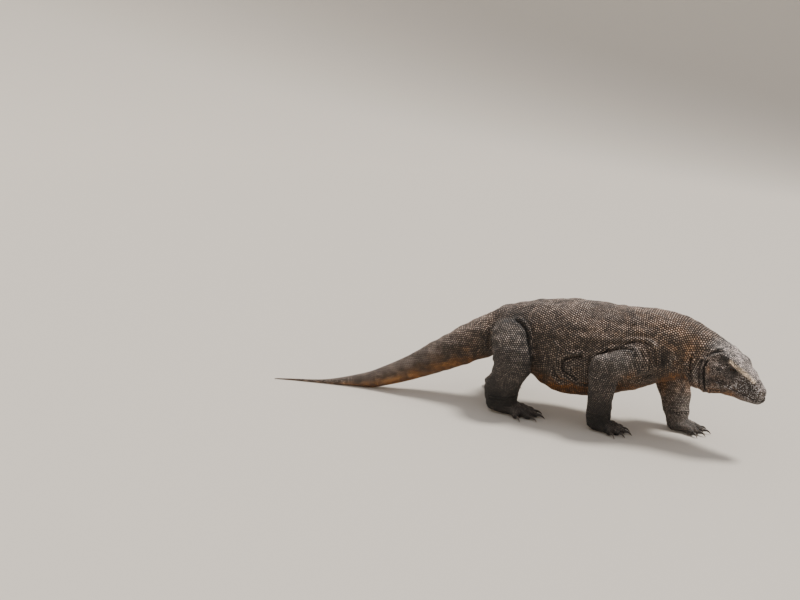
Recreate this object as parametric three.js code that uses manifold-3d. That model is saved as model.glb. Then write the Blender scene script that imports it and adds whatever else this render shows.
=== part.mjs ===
// A komodo dragon, life size, caught in mid stride on a level floor.
// Millimetres. +X runs towards the snout, +Y to the animal's left, +Z up, with the floor at Z = 0.
// The flesh is a set of lofts: one along the spine, one for the head, and one for each limb.
// Each is cut into named lengths that meet face to face.
import * as THREE from "three";
import { mergeVertices } from "three/addons/utils/BufferGeometryUtils.js";
import Module from "manifold-3d";

const wasm = await Module();
wasm.setup();

// ---------------------------------------------------------------- driving dimensions

const GAP = 0.3; // clear space between two lengths that touch
const SECTION_SIDES = 32; // points round the trunk, neck, tail and head
const RING_SPACING = 62; // distance between two sections of the trunk and tail
const LIMB_SIDES = 14;
const LIMB_SQUARENESS = 2.25;
const LIMB_RING_SPACING = 38;

const HEAD_YAW = THREE.MathUtils.degToRad(-15); // the head looks a little to its right
const HEAD_PITCH = THREE.MathUtils.degToRad(-21.5); // and down
const NECK_JOINT = new THREE.Vector3(952, -27, 461);

const EYE_RADIUS = 13.5;
const EYE_AT = [162, 59, 53]; // along the head from the neck joint, out from its middle, and up
const EAR_AT = [40, 112, 26];
const NOSTRIL_AT = [308, 37, 15];
const SNOUT_TAPER = THREE.MathUtils.degToRad(24); // how far the sides of the snout turn forwards
const LID_SIZE = new THREE.Vector3(21, 15.5, 7); // half length, half height, and how far it swells
const EYE_OPENING = new THREE.Vector3(13, 8.4, 30);
const EAR_SIZE = new THREE.Vector3(8, 23, 18); // half length, half height and depth
const NOSTRIL_SIZE = new THREE.Vector3(9, 6.5, 9);
const HEAD_SIDES = [22, 14]; // points over the crown, and under the jaw

// The spine, from the tip of the tail to inside the head.
// Columns: x, y, z of the middle, half width, height above it, depth below it, squareness.
const SPINE = [
  [-1385, -372, 3.2, 2.2, 2.4, 2.6, 2],
  [-1303, -342, 5.5, 4.5, 5, 5.4, 2],
  [-1134, -291, 11, 9, 11, 11, 2],
  [-1057, -266, 17, 14, 18, 17.2, 2],
  [-980, -240, 27, 21, 28, 27.3, 2],
  [-854, -200, 49, 34, 46, 48.6, 2],
  [-762, -172, 83, 45, 57, 58, 2],
  [-670, -145, 124, 56, 67, 67, 2],
  [-529, -95, 198, 72, 86, 86, 2],
  [-388, -52, 281, 87, 101, 102, 2.1],
  [-299, -28, 335, 97, 109, 112, 2.1],
  [-203, -8, 387, 110, 116, 122, 2.1],
  [-100, 0, 420, 136, 148, 160, 2.1],
  [44, 0, 425, 174, 192, 228, 2.15],
  [245, 0, 415, 208, 235, 292, 2.15],
  [358, 0, 415, 210, 239, 282, 2.15],
  [519, 0, 435, 196, 221, 242, 2.15],
  [711, -2, 475, 166, 192, 197, 2.2],
  [841, -10, 482, 136, 169, 170, 2.2],
  [930, -23, 472, 112, 146, 158, 2.2],
];

// Where the spine is cut, by the x of its middle line: node name, and where the node ends.
const SPINE_LENGTHS = [
  ["tail_tip", -1057],
  ["tail_end", -762],
  ["tail_middle", -461],
  ["tail_base", -150],
  ["pelvis", 125],
  ["abdomen", 450],
  ["chest", 780],
  ["neck", null],
];

// The head, from the neck joint forwards. Heights are from the head's axis.
// Columns: distance, crown height, then half width and height of the brow, of the hollow under it and
// of the cheek, half width and height of the lips, half width and height of the jaw, and chin height.
const HEAD = [
  [0, 132, 87, 94, 105, 50, 112, 8, 108, -44, 100, -104, -158],
  [45, 131, 85, 99, 103, 54, 112, 12, 106, -42, 98, -106, -156],
  [90, 127, 82, 102, 94, 58, 107, 14, 101, -40, 93, -104, -150],
  [125, 121, 80, 102, 80, 62, 98, 14, 93, -38, 83, -94, -140],
  [150, 115, 79, 100, 70, 60, 86, 12, 83, -37, 74, -84, -126],
  [175, 110, 76, 95, 64, 53, 74, 9, 75, -36, 66, -76, -112],
  [205, 102, 66, 87, 56, 45, 63, 5, 67, -34, 58, -67, -101],
  [240, 88, 54, 72, 47, 35, 54, 1, 58, -33, 50, -59, -91],
  [275, 72, 44, 56, 39, 26, 46, -3, 50, -31, 43, -54, -80],
  [315, 53, 35, 36, 33, 15, 38, -6, 42, -29, 36, -47, -67],
  [342, 37, 27, 21, 28, 7, 31, -9, 33, -26, 27, -41, -56],
  [357, 20, 17, 8, 20, -1, 20, -12, 21, -23, 17, -34, -44],
  [365, 2, 7, -2, 8, -7, 8, -13, 8, -19, 7, -27, -31],
];
const MOUTH_CORNER = 118; // the lips end here
const LIP_GROOVE = 2.6;

// Limbs, from inside the body down into the sole, and the heights of the two cuts along them.
// Columns: x, y, z, half breadth fore and aft, half thickness across.
const LIMBS = {
  hind_right: {
    rows: [
      [-70, -70, 470, 100, 62],
      [-62, -150, 440, 104, 74],
      [-40, -198, 375, 104, 78],
      [-22, -220, 300, 104, 74],
      [-45, -212, 215, 88, 64],
      [-78, -190, 130, 98, 62],
      [-80, -182, 84, 93, 58],
      [-70, -176, 30, 80, 52],
    ],
    names: ["thigh", "shank"],
    cuts: [280, 92],
  },
  hind_left: {
    rows: [
      [-75, 70, 470, 98, 62],
      [-85, 150, 440, 102, 74],
      [-95, 196, 375, 100, 78],
      [-118, 216, 300, 92, 72],
      [-154, 216, 215, 76, 60],
      [-190, 211, 135, 62, 53],
      [-200, 208, 88, 60, 51],
      [-208, 208, 30, 54, 48],
    ],
    names: ["thigh", "shank"],
    cuts: [262, 92],
  },
  // This elbow is folded: the upper arm runs back and butts into the side of an upright forearm.
  fore_right: {
    upperRows: [
      [700, -60, 480, 70, 56],
      [640, -150, 432, 84, 62],
      [560, -205, 396, 76, 58],
      [486, -226, 372, 66, 50],
    ],
    rows: [
      [484, -228, 436, 26, 22],
      [483, -228, 420, 54, 42],
      [480, -227, 390, 72, 54],
      [474, -226, 330, 76, 57],
      [472, -220, 270, 73, 55],
      [466, -192, 170, 64, 50],
      [460, -172, 84, 66, 50],
      [464, -162, 30, 60, 48],
    ],
    names: ["upper_arm", "forearm"],
    cuts: [null, 88],
  },
  fore_left: {
    rows: [
      [700, 70, 455, 64, 56],
      [722, 140, 410, 84, 64],
      [742, 164, 345, 92, 64],
      [770, 156, 280, 98, 58],
      [806, 128, 180, 84, 52],
      [830, 98, 84, 64, 50],
      [843, 88, 30, 52, 46],
    ],
    names: ["upper_arm", "forearm"],
    cuts: [300, 88],
  },
};

// Feet: middle of the sole, heading (degrees, outwards positive), sole length, width and height,
// and toes as [angle from the heading, length], from the innermost to the outermost.
const FEET = {
  hind_right: { at: [-34, -166], heading: 2, sole: [190, 124, 78] },
  hind_left: { at: [-232, 212], heading: 62, sole: [130, 118, 74] },
  fore_right: { at: [484, -154], heading: 2, sole: [138, 112, 70] },
  fore_left: { at: [860, 84], heading: 6, sole: [138, 112, 70] },
};
const HIND_TOES = [[-44, 66], [-22, 88], [-2, 98], [19, 92], [48, 62]];
const FORE_TOES = [[-44, 58], [-22, 70], [-1, 76], [20, 70], [44, 54]];
const TOE_RADIUS = 22;
const CLAW_LENGTH = 40;
const CLAW_RADIUS = 8.5;

const SKIN = { color: 0x57503f, roughness: 0.8, metalness: 0 };
const DARK_SKIN = { color: 0x3c3a38, roughness: 0.8, metalness: 0 };
const EYE = { color: 0x1c1511, roughness: 0.15, metalness: 0 };

// ---------------------------------------------------------------- helpers

// Smooth values between rows that are ordered by their first column, with no overshoot
// (a monotone cubic through each column).
function smoothTable(rows) {
  const at = rows.map((row) => row[0]);
  const columns = rows[0].length;
  const slopes = rows.map(() => new Array(columns).fill(0));
  for (let c = 1; c < columns; c += 1) {
    const rise = [];
    for (let i = 0; i + 1 < rows.length; i += 1) {
      rise.push((rows[i + 1][c] - rows[i][c]) / (at[i + 1] - at[i]));
    }
    for (let i = 0; i < rows.length; i += 1) {
      const before = rise[Math.max(i - 1, 0)];
      const after = rise[Math.min(i, rise.length - 1)];
      slopes[i][c] = before * after > 0 ? (2 * before * after) / (before + after) : 0;
    }
  }
  return (position) => {
    let i = 0;
    while (i + 2 < rows.length && position > at[i + 1]) i += 1;
    const span = at[i + 1] - at[i];
    const t = (position - at[i]) / span;
    return rows[i].map((value, c) => {
      const h00 = (1 + 2 * t) * (1 - t) * (1 - t);
      const h10 = t * (1 - t) * (1 - t);
      const h01 = t * t * (3 - 2 * t);
      const h11 = t * t * (t - 1);
      return (
        h00 * value + h10 * span * slopes[i][c] + h01 * rows[i + 1][c] + h11 * span * slopes[i + 1][c]
      );
    });
  };
}

// A closed solid from points and triangles, turned so that its faces point out.
function solidOf(points, triangles) {
  let volume = 0;
  for (const [a, b, c] of triangles) {
    volume += points[a].dot(new THREE.Vector3().crossVectors(points[b], points[c]));
  }
  const ordered = volume < 0 ? triangles.map(([a, b, c]) => [a, c, b]) : triangles;
  const mesh = new wasm.Mesh({
    numProp: 3,
    vertProperties: new Float32Array(points.flatMap((p) => [p.x, p.y, p.z])),
    triVerts: new Uint32Array(ordered.flat()),
  });
  return new wasm.Manifold(mesh);
}

// A loft through rings of equal count. Each end is closed by a fan round its middle.
function loft(rings) {
  const sides = rings[0].length;
  const points = rings.flat();
  const triangles = [];
  for (let r = 0; r + 1 < rings.length; r += 1) {
    for (let i = 0; i < sides; i += 1) {
      const a = r * sides + i;
      const b = r * sides + ((i + 1) % sides);
      triangles.push([a, b, b + sides], [a, b + sides, a + sides]);
    }
  }
  for (const [ring, first, flip] of [
    [rings[0], 0, false],
    [rings[rings.length - 1], (rings.length - 1) * sides, true],
  ]) {
    const middle = new THREE.Vector3();
    for (const p of ring) middle.addScaledVector(p, 1 / sides);
    points.push(middle);
    const m = points.length - 1;
    for (let i = 0; i < sides; i += 1) {
      const a = first + i;
      const b = first + ((i + 1) % sides);
      triangles.push(flip ? [a, b, m] : [b, a, m]);
    }
  }
  return solidOf(points, triangles);
}

// The largest of the closed surfaces that a cut leaves.
function largest(solid) {
  const pieces = solid.decompose();
  return pieces.reduce((best, piece) => (piece.volume() > best.volume() ? piece : best));
}

function join(solids) {
  return solids.reduce((all, solid) => all.add(solid));
}

// A round solid with three half sizes, turned by a frame and set at a point.
function ellipsoid(halfSizes, frame, middle, detail) {
  const geometry = new THREE.SphereGeometry(1, detail, Math.round(detail * 0.6));
  geometry.deleteAttribute("normal");
  geometry.deleteAttribute("uv");
  const merged = mergeVertices(geometry, 1e-5);
  const position = merged.getAttribute("position");
  const points = [];
  for (let i = 0; i < position.count; i += 1) {
    points.push(
      middle
        .clone()
        .addScaledVector(frame[0], position.getX(i) * halfSizes.x)
        .addScaledVector(frame[1], position.getY(i) * halfSizes.y)
        .addScaledVector(frame[2], position.getZ(i) * halfSizes.z),
    );
  }
  const index = Array.from(merged.index.array);
  const triangles = [];
  for (let i = 0; i < index.length; i += 3) triangles.push(index.slice(i, i + 3));
  return solidOf(points, triangles);
}

// A tapered tube with round sections along rows of x, y, z, radius across and radius upright.
function tube(rows, sides, stepsBetween) {
  const numbered = rows.map((row, i) => [i, ...row]);
  const at = smoothTable(numbered);
  const count = (rows.length - 1) * stepsBetween;
  const rings = [];
  for (let k = 0; k <= count; k += 1) {
    const t = (k / count) * (rows.length - 1);
    const here = at(t);
    const before = at(Math.max(t - 0.05, 0));
    const after = at(Math.min(t + 0.05, rows.length - 1));
    const tangent = vectorOf(after, 1).sub(vectorOf(before, 1)).normalize();
    const frame = frameAlong(tangent);
    rings.push(ringOf(vectorOf(here, 1), frame, circleSection(here[4], here[5], here[5], 2, sides)));
  }
  return loft(rings);
}

function vectorOf(row, first) {
  return new THREE.Vector3(row[first], row[first + 1], row[first + 2]);
}

// Side (towards the right of the way we look) and up, both square to the tangent.
function frameAlong(tangent) {
  const side = new THREE.Vector3().crossVectors(tangent, new THREE.Vector3(0, 0, 1)).normalize();
  const up = new THREE.Vector3().crossVectors(side, tangent);
  return { tangent, side, up };
}

// A section as [across, up] pairs: an ellipse whose corners fill out as squareness passes 2.
function circleSection(halfWidth, above, below, squareness, sides) {
  const section = [];
  for (let i = 0; i < sides; i += 1) {
    const angle = (2 * Math.PI * i) / sides;
    const across = Math.cos(angle);
    const up = Math.sin(angle);
    const power = 2 / squareness;
    section.push([
      halfWidth * Math.sign(across) * Math.abs(across) ** power,
      (up > 0 ? above : below) * Math.sign(up) * Math.abs(up) ** power,
    ]);
  }
  return section;
}

function ringOf(middle, frame, section) {
  return section.map(([across, up]) =>
    middle.clone().addScaledVector(frame.side, across).addScaledVector(frame.up, up),
  );
}

// ---------------------------------------------------------------- spine

const headAxis = new THREE.Vector3(
  Math.cos(HEAD_YAW) * Math.cos(HEAD_PITCH),
  Math.sin(HEAD_YAW) * Math.cos(HEAD_PITCH),
  Math.sin(HEAD_PITCH),
);
const headFrame = frameAlong(headAxis);
const headTable = smoothTable(HEAD);

// The spine's rows with the distance along it in front, ending a little way inside the head.
function spineRows() {
  const first = HEAD[0];
  const rows = SPINE.map((row) => [...row]);
  for (const inside of [0, 60]) {
    const p = NECK_JOINT.clone().addScaledVector(headAxis, inside);
    rows.push([p.x, p.y, p.z, first[6], first[1], -first[12], 2.3]);
  }
  let along = 0;
  return rows.map((row, i) => {
    if (i > 0) along += vectorOf(row, 0).distanceTo(vectorOf(rows[i - 1], 0));
    return [along, ...row];
  });
}

const spine = spineRows();
const spineTable = smoothTable(spine);
const neckEnd = spine[spine.length - 2][0];

// Distance along the spine at which its middle line reaches an x.
function alongAt(x) {
  let low = 0;
  let high = neckEnd;
  for (let i = 0; i < 40; i += 1) {
    const middle = (low + high) / 2;
    if (spineTable(middle)[1] < x) low = middle;
    else high = middle;
  }
  return low;
}

const NECK_BLEND = 150; // the neck takes on the head's section over this length
const headRear = [...upperSection(headTable(0), 0), ...lowerSection(headTable(0), 0)];

// How far a section reaches from its middle in a direction.
function reachOf(section, across, up) {
  for (let i = 0; i < section.length; i += 1) {
    const [x0, y0] = section[i];
    const [x1, y1] = section[(i + 1) % section.length];
    const turn = across * (y1 - y0) - up * (x1 - x0);
    const along = (x0 * up - y0 * across) / turn;
    const reach = (x0 * (y1 - y0) - y0 * (x1 - x0)) / turn;
    if (along >= -1e-9 && along <= 1 + 1e-9 && reach > 0) return reach;
  }
  return 0;
}

// One ring of the spine's surface, grown outwards by some extra and slid along by a shift.
function spineRing(along, extra, shift) {
  const row = spineTable(along);
  const step = 4;
  const tangent = vectorOf(spineTable(along + step), 1)
    .sub(vectorOf(spineTable(Math.max(along - step, 0)), 1))
    .normalize();
  const frame = along >= neckEnd - 1 ? headFrame : frameAlong(tangent);
  const plain = circleSection(row[4] + extra, row[5] + extra, row[6] + extra, row[7], SECTION_SIDES);
  const blend = THREE.MathUtils.smoothstep(along, neckEnd - NECK_BLEND, neckEnd);
  const section = plain.map(([across, up]) => {
    const reach = Math.hypot(across, up);
    const headReach = reachOf(headRear, across / reach, up / reach);
    const scale = 1 + (headReach / reach - 1) * blend;
    return [across * scale, up * scale];
  });
  return ringOf(vectorOf(row, 1).addScaledVector(frame.tangent, shift), frame, section);
}

// Half the gap, which the first and last ring of a length draw back from the cut.
function endShift(i, count) {
  if (i === 0) return GAP / 2;
  return i === count - 1 ? -GAP / 2 : 0;
}

// Even steps between two places, both included.
function evenSteps(from, to, spacing) {
  const steps = Math.max(2, Math.ceil((to - from) / spacing));
  return Array.from({ length: steps + 1 }, (_, i) => from + ((to - from) * i) / steps);
}

// ---------------------------------------------------------------- head

// A smooth curve through control points, sampled evenly, ends included.
function curveThrough(controls, count) {
  const curve = new THREE.CatmullRomCurve3(
    controls.map(([a, b]) => new THREE.Vector3(a, b, 0)),
    false,
    "centripetal",
  );
  return curve.getPoints(count - 1).map((p) => [p.x, p.y]);
}

// From the right lip over the crown to the left lip, with the lip's edge drawn in by the groove.
function upperSection(row, groove) {
  const [, crown, browWide, browHigh, hollowWide, hollowHigh, cheekWide, cheekHigh, lipWide, mouth] = row;
  const right = [
    [lipWide - groove, mouth],
    [lipWide + groove * 0.4, mouth + 9],
    [cheekWide, cheekHigh],
    [hollowWide, hollowHigh],
    [browWide, browHigh],
    [browWide * 0.5, crown - (crown - browHigh) * 0.18],
  ];
  const left = right.map(([a, b]) => [-a, b]).reverse();
  return curveThrough([...right, [0, crown], ...left], HEAD_SIDES[0] + 1).slice(0, -1);
}

// From the left lip under the chin to the right lip.
function lowerSection(row, groove) {
  const [lipWide, mouth, jawWide, jawHigh, chin] = row.slice(8);
  const left = [
    [-(lipWide - groove), mouth],
    [-(lipWide - groove * 0.2), mouth - 9],
    [-jawWide, jawHigh],
    [-jawWide * 0.55, chin + (jawHigh - chin) * 0.16],
  ];
  const right = left.map(([a, b]) => [-a, b]).reverse();
  return curveThrough([...left, [0, chin], ...right], HEAD_SIDES[1] + 1).slice(0, -1);
}

function headPoint(along, across, up) {
  return NECK_JOINT.clone()
    .addScaledVector(headAxis, along)
    .addScaledVector(headFrame.side, across)
    .addScaledVector(headFrame.up, up);
}

const headStations = [];
for (let along = GAP / 2; along < 330; along += 18) headStations.push(along);
headStations.push(338, 349, 357, 362, 365);

// The head above the mouth, or the jaw below it, as a loft that ends flat on the mouth's plane.
function headHalf(isUpper) {
  const rings = headStations.map((along) => {
    const row = headTable(along);
    const groove = LIP_GROOVE * THREE.MathUtils.smoothstep(along, MOUTH_CORNER - 14, MOUTH_CORNER + 14);
    const half = isUpper ? upperSection(row, groove) : lowerSection(row, groove);
    const endAcross = -half[0][0];
    const section = [...half, [endAcross, row[9]]];
    const shift = isUpper ? GAP / 2 : -GAP / 2;
    return section.map(([across, up]) => headPoint(along, across, up + shift));
  });
  return loft(isUpper ? rings : rings.slice(0, -1));
}

const sides = { right: 1, left: -1 };

// Along, up and outwards at a place on one side of the head, where the side faces a little forwards.
function sideFrame(sign, taper) {
  const outward = headFrame.side
    .clone()
    .multiplyScalar(sign * Math.cos(taper))
    .addScaledVector(headAxis, Math.sin(taper));
  const along = new THREE.Vector3().crossVectors(headFrame.up, outward);
  return [along, headFrame.up, outward];
}

function buildHead() {
  let head = headHalf(true);
  const eyes = {};
  for (const [name, sign] of Object.entries(sides)) {
    const frame = sideFrame(sign, SNOUT_TAPER);
    const place = ([along, out, up]) => headPoint(along, out * sign, up);
    const eye = place(EYE_AT);
    const lidMiddle = eye.clone().addScaledVector(frame[2], EYE_RADIUS * 0.55);
    const lids = ellipsoid(LID_SIZE, frame, lidMiddle, 16);
    const opening = ellipsoid(EYE_OPENING, frame, lidMiddle, 14).intersect(outsideOf(eye, frame));
    const ball = new THREE.Vector3(EYE_RADIUS, EYE_RADIUS, EYE_RADIUS);
    const socket = ball.clone().addScalar(GAP);
    head = head.add(lids).subtract(opening).subtract(ellipsoid(socket, frame, eye, 14));
    eyes[name] = ellipsoid(ball, frame, eye, 14);
    head = head.subtract(ellipsoid(EAR_SIZE, sideFrame(sign, 0), place(EAR_AT), 10));
    head = head.subtract(ellipsoid(NOSTRIL_SIZE, frame, place(NOSTRIL_AT), 9));
  }
  return { head: largest(head), jaw: headHalf(false), eyes };
}

// A block that holds all that lies outwards of a point.
function outsideOf(point, [along, up, outward]) {
  const geometry = new THREE.BoxGeometry(80, 80, 80);
  geometry.deleteAttribute("normal");
  geometry.deleteAttribute("uv");
  const merged = mergeVertices(geometry, 1e-5);
  const position = merged.getAttribute("position");
  const points = [];
  for (let i = 0; i < position.count; i += 1) {
    points.push(
      point
        .clone()
        .addScaledVector(along, position.getX(i))
        .addScaledVector(up, position.getY(i))
        .addScaledVector(outward, position.getZ(i) + 40),
    );
  }
  const index = Array.from(merged.index.array);
  const triangles = [];
  for (let i = 0; i < index.length; i += 3) triangles.push(index.slice(i, i + 3));
  return solidOf(points, triangles);
}

// ---------------------------------------------------------------- limbs

// Rows with the distance along the limb in front.
function limbTable(rows) {
  let along = 0;
  const measured = rows.map((row, i) => {
    if (i > 0) along += vectorOf(row, 0).distanceTo(vectorOf(rows[i - 1], 0));
    return [along, ...row];
  });
  return { at: smoothTable(measured), end: along };
}

// A limb's section lies square to it, with its breadth fore and aft and its thickness across.
// The shift slides it along the limb, and extra makes it larger all round.
function limbRing(table, along, shift, extra) {
  const row = table.at(along);
  const before = table.at(Math.max(along - 3, 0));
  const after = table.at(Math.min(along + 3, table.end));
  const tangent = vectorOf(after, 1).sub(vectorOf(before, 1)).normalize();
  const across = new THREE.Vector3(0, 1, 0).addScaledVector(tangent, -tangent.y).normalize();
  const forward = new THREE.Vector3().crossVectors(across, tangent);
  const middle = vectorOf(row, 1).addScaledVector(tangent, shift);
  const thick = row[5] + extra;
  return circleSection(row[4] + extra, thick, thick, LIMB_SQUARENESS, LIMB_SIDES).map(([f, a]) =>
    middle.clone().addScaledVector(forward, f).addScaledVector(across, a),
  );
}

// Distance along a limb at which its middle line comes down to a height.
function alongAtHeight(table, height) {
  let low = 0;
  let high = table.end;
  for (let i = 0; i < 40; i += 1) {
    const middle = (low + high) / 2;
    if (table.at(middle)[3] > height) low = middle;
    else high = middle;
  }
  return low;
}

function limbLength(table, from, to) {
  const places = evenSteps(from, to, LIMB_RING_SPACING);
  return loft(places.map((along, i) => limbRing(table, along, endShift(i, places.length), 0)));
}

// The same length a little larger at its sides and at its lower end, to trim the foot by.
function grownLimbLength(table, from, to) {
  const places = evenSteps(from, to, LIMB_RING_SPACING);
  const last = places.length - 1;
  return loft(places.map((along, i) => limbRing(table, along, i === last ? GAP / 2 : 0, GAP * 1.2)));
}

// The upper length of a folded limb, trimmed to the lower length that it butts into.
function foldedUpper(limb, lowerTable, ankle) {
  const upper = limbTable(limb.upperRows);
  return limbLength(upper, 0, upper.end).subtract(grownLimbLength(lowerTable, 0, ankle));
}

// A toe that arches from the sole to the floor, with a curved claw rooted in its tip.
function toe(root, direction, length, scale) {
  const at = (distance, height, across, upright) => [
    root.x + direction.x * distance,
    root.y + direction.y * distance,
    height,
    across,
    upright,
  ];
  const thick = TOE_RADIUS * scale;
  const flesh = tube(
    [
      at(-30, 30, thick * 1.15, thick * 1.1),
      at(length * 0.35, 27, thick, thick),
      at(length * 0.8, 17, thick * 0.86, thick * 0.88),
      at(length, 13, thick * 0.5, thick * 0.5),
    ],
    8,
    1,
  );
  const claw = CLAW_LENGTH * scale;
  const nail = tube(
    [
      at(length - 20, 18, CLAW_RADIUS * scale, CLAW_RADIUS * scale),
      at(length + claw * 0.25, 20, CLAW_RADIUS * 0.85 * scale, CLAW_RADIUS * scale),
      at(length + claw * 0.68, 14, CLAW_RADIUS * 0.5 * scale, CLAW_RADIUS * 0.6 * scale),
      at(length + claw, 2.2, 0.9, 1),
    ],
    6,
    1,
  );
  return flesh.add(nail);
}

// The block of space above the floor.
function aboveFloor() {
  const geometry = new THREE.BoxGeometry(4000, 4000, 1000);
  geometry.translate(0, 0, 500);
  geometry.deleteAttribute("normal");
  geometry.deleteAttribute("uv");
  const merged = mergeVertices(geometry, 1e-4);
  return new wasm.Manifold(
    new wasm.Mesh({
      numProp: 3,
      vertProperties: merged.getAttribute("position").array,
      triVerts: new Uint32Array(merged.index.array),
    }),
  );
}

const floorBlock = aboveFloor();

function buildFoot(name, table, knee, ankle) {
  const { at, heading, sole } = FEET[name];
  const [length, width, height] = sole;
  const outSign = name.endsWith("right") ? -1 : 1;
  const isHind = name.startsWith("hind");
  const angle = THREE.MathUtils.degToRad(heading) * outSign;
  const forward = new THREE.Vector3(Math.cos(angle), Math.sin(angle), 0);
  const middle = new THREE.Vector3(at[0], at[1], 0);
  const on = (distance, h, across, upright) => [
    middle.x + forward.x * distance,
    middle.y + forward.y * distance,
    h,
    across,
    upright,
  ];
  const pad = tube(
    [
      on(-length * 0.5, height * 0.36, width * 0.2, height * 0.26),
      on(-length * 0.38, height * 0.42, width * 0.4, height * 0.46),
      on(-length * 0.05, height * 0.46, width * 0.5, height * 0.52),
      on(length * 0.3, height * 0.36, width * 0.52, height * 0.42),
      on(length * 0.5, height * 0.3, width * 0.38, height * 0.3),
    ],
    12,
    1,
  );
  const ankleStub = limbLength(table, ankle, table.end);
  const toes = (isHind ? HIND_TOES : FORE_TOES).map(([turn, reach]) => {
    const toeAngle = angle + THREE.MathUtils.degToRad(turn) * outSign;
    const direction = new THREE.Vector3(Math.cos(toeAngle), Math.sin(toeAngle), 0);
    const sideways = Math.sin(THREE.MathUtils.degToRad(turn)) * outSign;
    const leftward = new THREE.Vector3(-forward.y, forward.x, 0);
    const root = middle
      .clone()
      .addScaledVector(forward, length * (0.36 - 0.24 * Math.abs(sideways)))
      .addScaledVector(leftward, sideways * width * 0.42);
    return toe(root, direction, reach, isHind ? 1.05 : 0.95);
  });
  const foot = join([ankleStub, pad, ...toes]);
  return largest(foot.intersect(floorBlock).subtract(grownLimbLength(table, knee, ankle)));
}

// ---------------------------------------------------------------- assembly

const group = new THREE.Group();
const animal = new THREE.Group();
group.add(animal);

function addNode(name, solid, finish) {
  const data = solid.getMesh();
  const geometry = new THREE.BufferGeometry();
  const vertices = new Float32Array(data.numVert * 3);
  for (let i = 0; i < data.numVert; i += 1) {
    for (let k = 0; k < 3; k += 1) vertices[i * 3 + k] = data.vertProperties[i * data.numProp + k];
  }
  geometry.setAttribute("position", new THREE.BufferAttribute(vertices, 3));
  geometry.setIndex(new THREE.BufferAttribute(new Uint32Array(data.triVerts), 1));
  geometry.computeVertexNormals();
  const mesh = new THREE.Mesh(geometry, new THREE.MeshStandardMaterial(finish));
  mesh.name = name;
  animal.add(mesh);
}

const trunkPlaces = [];
let from = 0;
for (const [name, endX] of SPINE_LENGTHS) {
  const to = endX === null ? neckEnd : alongAt(endX);
  const places = evenSteps(from, to, RING_SPACING);
  const shifts = places.map((_, i) => endShift(i, places.length));
  const solid = loft(places.map((along, i) => spineRing(along, 0, shifts[i])));
  addNode(name, largest(solid.intersect(floorBlock)), SKIN);
  places.forEach((along, i) => trunkPlaces.push([along, shifts[i]]));
  from = to;
}

const { head, jaw, eyes } = buildHead();
addNode("head", head, DARK_SKIN);
addNode("jaw", jaw, DARK_SKIN);
for (const [side, eye] of Object.entries(eyes)) addNode(`eye_${side}`, eye, EYE);

// The trunk and tail, a little larger all round: it trims each limb to the skin that carries it.
const grownTrunk = loft(trunkPlaces.map(([along, shift]) => spineRing(along, GAP * 1.2, shift)));
for (const [name, limb] of Object.entries(LIMBS)) {
  const table = limbTable(limb.rows);
  const [kneeHeight, ankleHeight] = limb.cuts;
  const knee = kneeHeight === null ? 0 : alongAtHeight(table, kneeHeight);
  const ankle = alongAtHeight(table, ankleHeight);
  const lower = limbLength(table, knee, ankle);
  const upper = limb.upperRows ? foldedUpper(limb, table, ankle) : limbLength(table, 0, knee);
  addNode(`${name}_${limb.names[0]}`, largest(upper.subtract(grownTrunk)), SKIN);
  addNode(`${name}_${limb.names[1]}`, largest(lower.subtract(grownTrunk)), SKIN);
  addNode(`${name}_foot`, buildFoot(name, table, knee, ankle), DARK_SKIN);
}

// The part's origin is on the floor, under the middle of its box.
const reach = new THREE.Box3().setFromObject(animal);
animal.position.set(-(reach.min.x + reach.max.x) / 2, -(reach.min.y + reach.max.y) / 2, -reach.min.z);

export default group;
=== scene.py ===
# %% [markdown]
# # A komodo dragon in mid stride
#
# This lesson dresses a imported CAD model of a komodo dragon, life size and standing still. The CAD
# solids carry the proportions. Here they get what the eye looks for: one unbroken skin, many
# thousand bead-like scales that stand up from it, lids, lips, nostrils, eyes and claws.
#
# The plan has four parts.
#
# 1. Work out the animal's surfaces from tables of named sections.
# 2. Melt trunk and legs into one skin, and give it folds.
# 3. Lay the scales in rows over the skin, each cut to fit between its neighbours.
# 4. Mix the finishes, then light the animal on a pale floor.
#
# Every length in the tables is in millimetres, because that is how the animal was measured.

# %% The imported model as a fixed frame
import math

import bmesh
import bpy
import numpy as np
import openvdb
from mathutils import Matrix, Vector
from mathutils.bvhtree import BVHTree
from mathutils.kdtree import KDTree


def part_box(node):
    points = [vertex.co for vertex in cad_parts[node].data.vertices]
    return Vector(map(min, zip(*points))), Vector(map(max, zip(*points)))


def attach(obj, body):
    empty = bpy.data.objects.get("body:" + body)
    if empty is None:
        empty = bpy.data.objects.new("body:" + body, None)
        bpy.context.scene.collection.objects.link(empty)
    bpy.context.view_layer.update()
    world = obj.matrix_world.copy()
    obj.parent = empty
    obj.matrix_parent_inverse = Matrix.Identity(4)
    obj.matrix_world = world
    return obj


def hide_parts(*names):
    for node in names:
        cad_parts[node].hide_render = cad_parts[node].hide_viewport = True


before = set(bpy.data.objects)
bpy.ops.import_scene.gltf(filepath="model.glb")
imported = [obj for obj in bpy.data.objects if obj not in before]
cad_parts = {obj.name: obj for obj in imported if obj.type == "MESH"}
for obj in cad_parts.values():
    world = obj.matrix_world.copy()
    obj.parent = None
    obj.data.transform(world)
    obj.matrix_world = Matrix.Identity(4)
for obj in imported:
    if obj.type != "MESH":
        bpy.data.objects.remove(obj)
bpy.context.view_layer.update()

# %% [markdown]
# ## Curves through tables
#
# An animal has no straight edges, but a few measured sections say all that matters about it, and a
# smooth curve through each column of a table gives the rest. Plain cubic curves swing past their
# rows where a limb ends or a snout closes. The curve used here takes its slope at a row from a mean
# of the two rises beside it that lies near the gentler one, so it never swings out.

# %% Smooth values between the rows of a table
MM = 0.001
UPWARDS = np.array([0.0, 0.0, 1.0])


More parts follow.
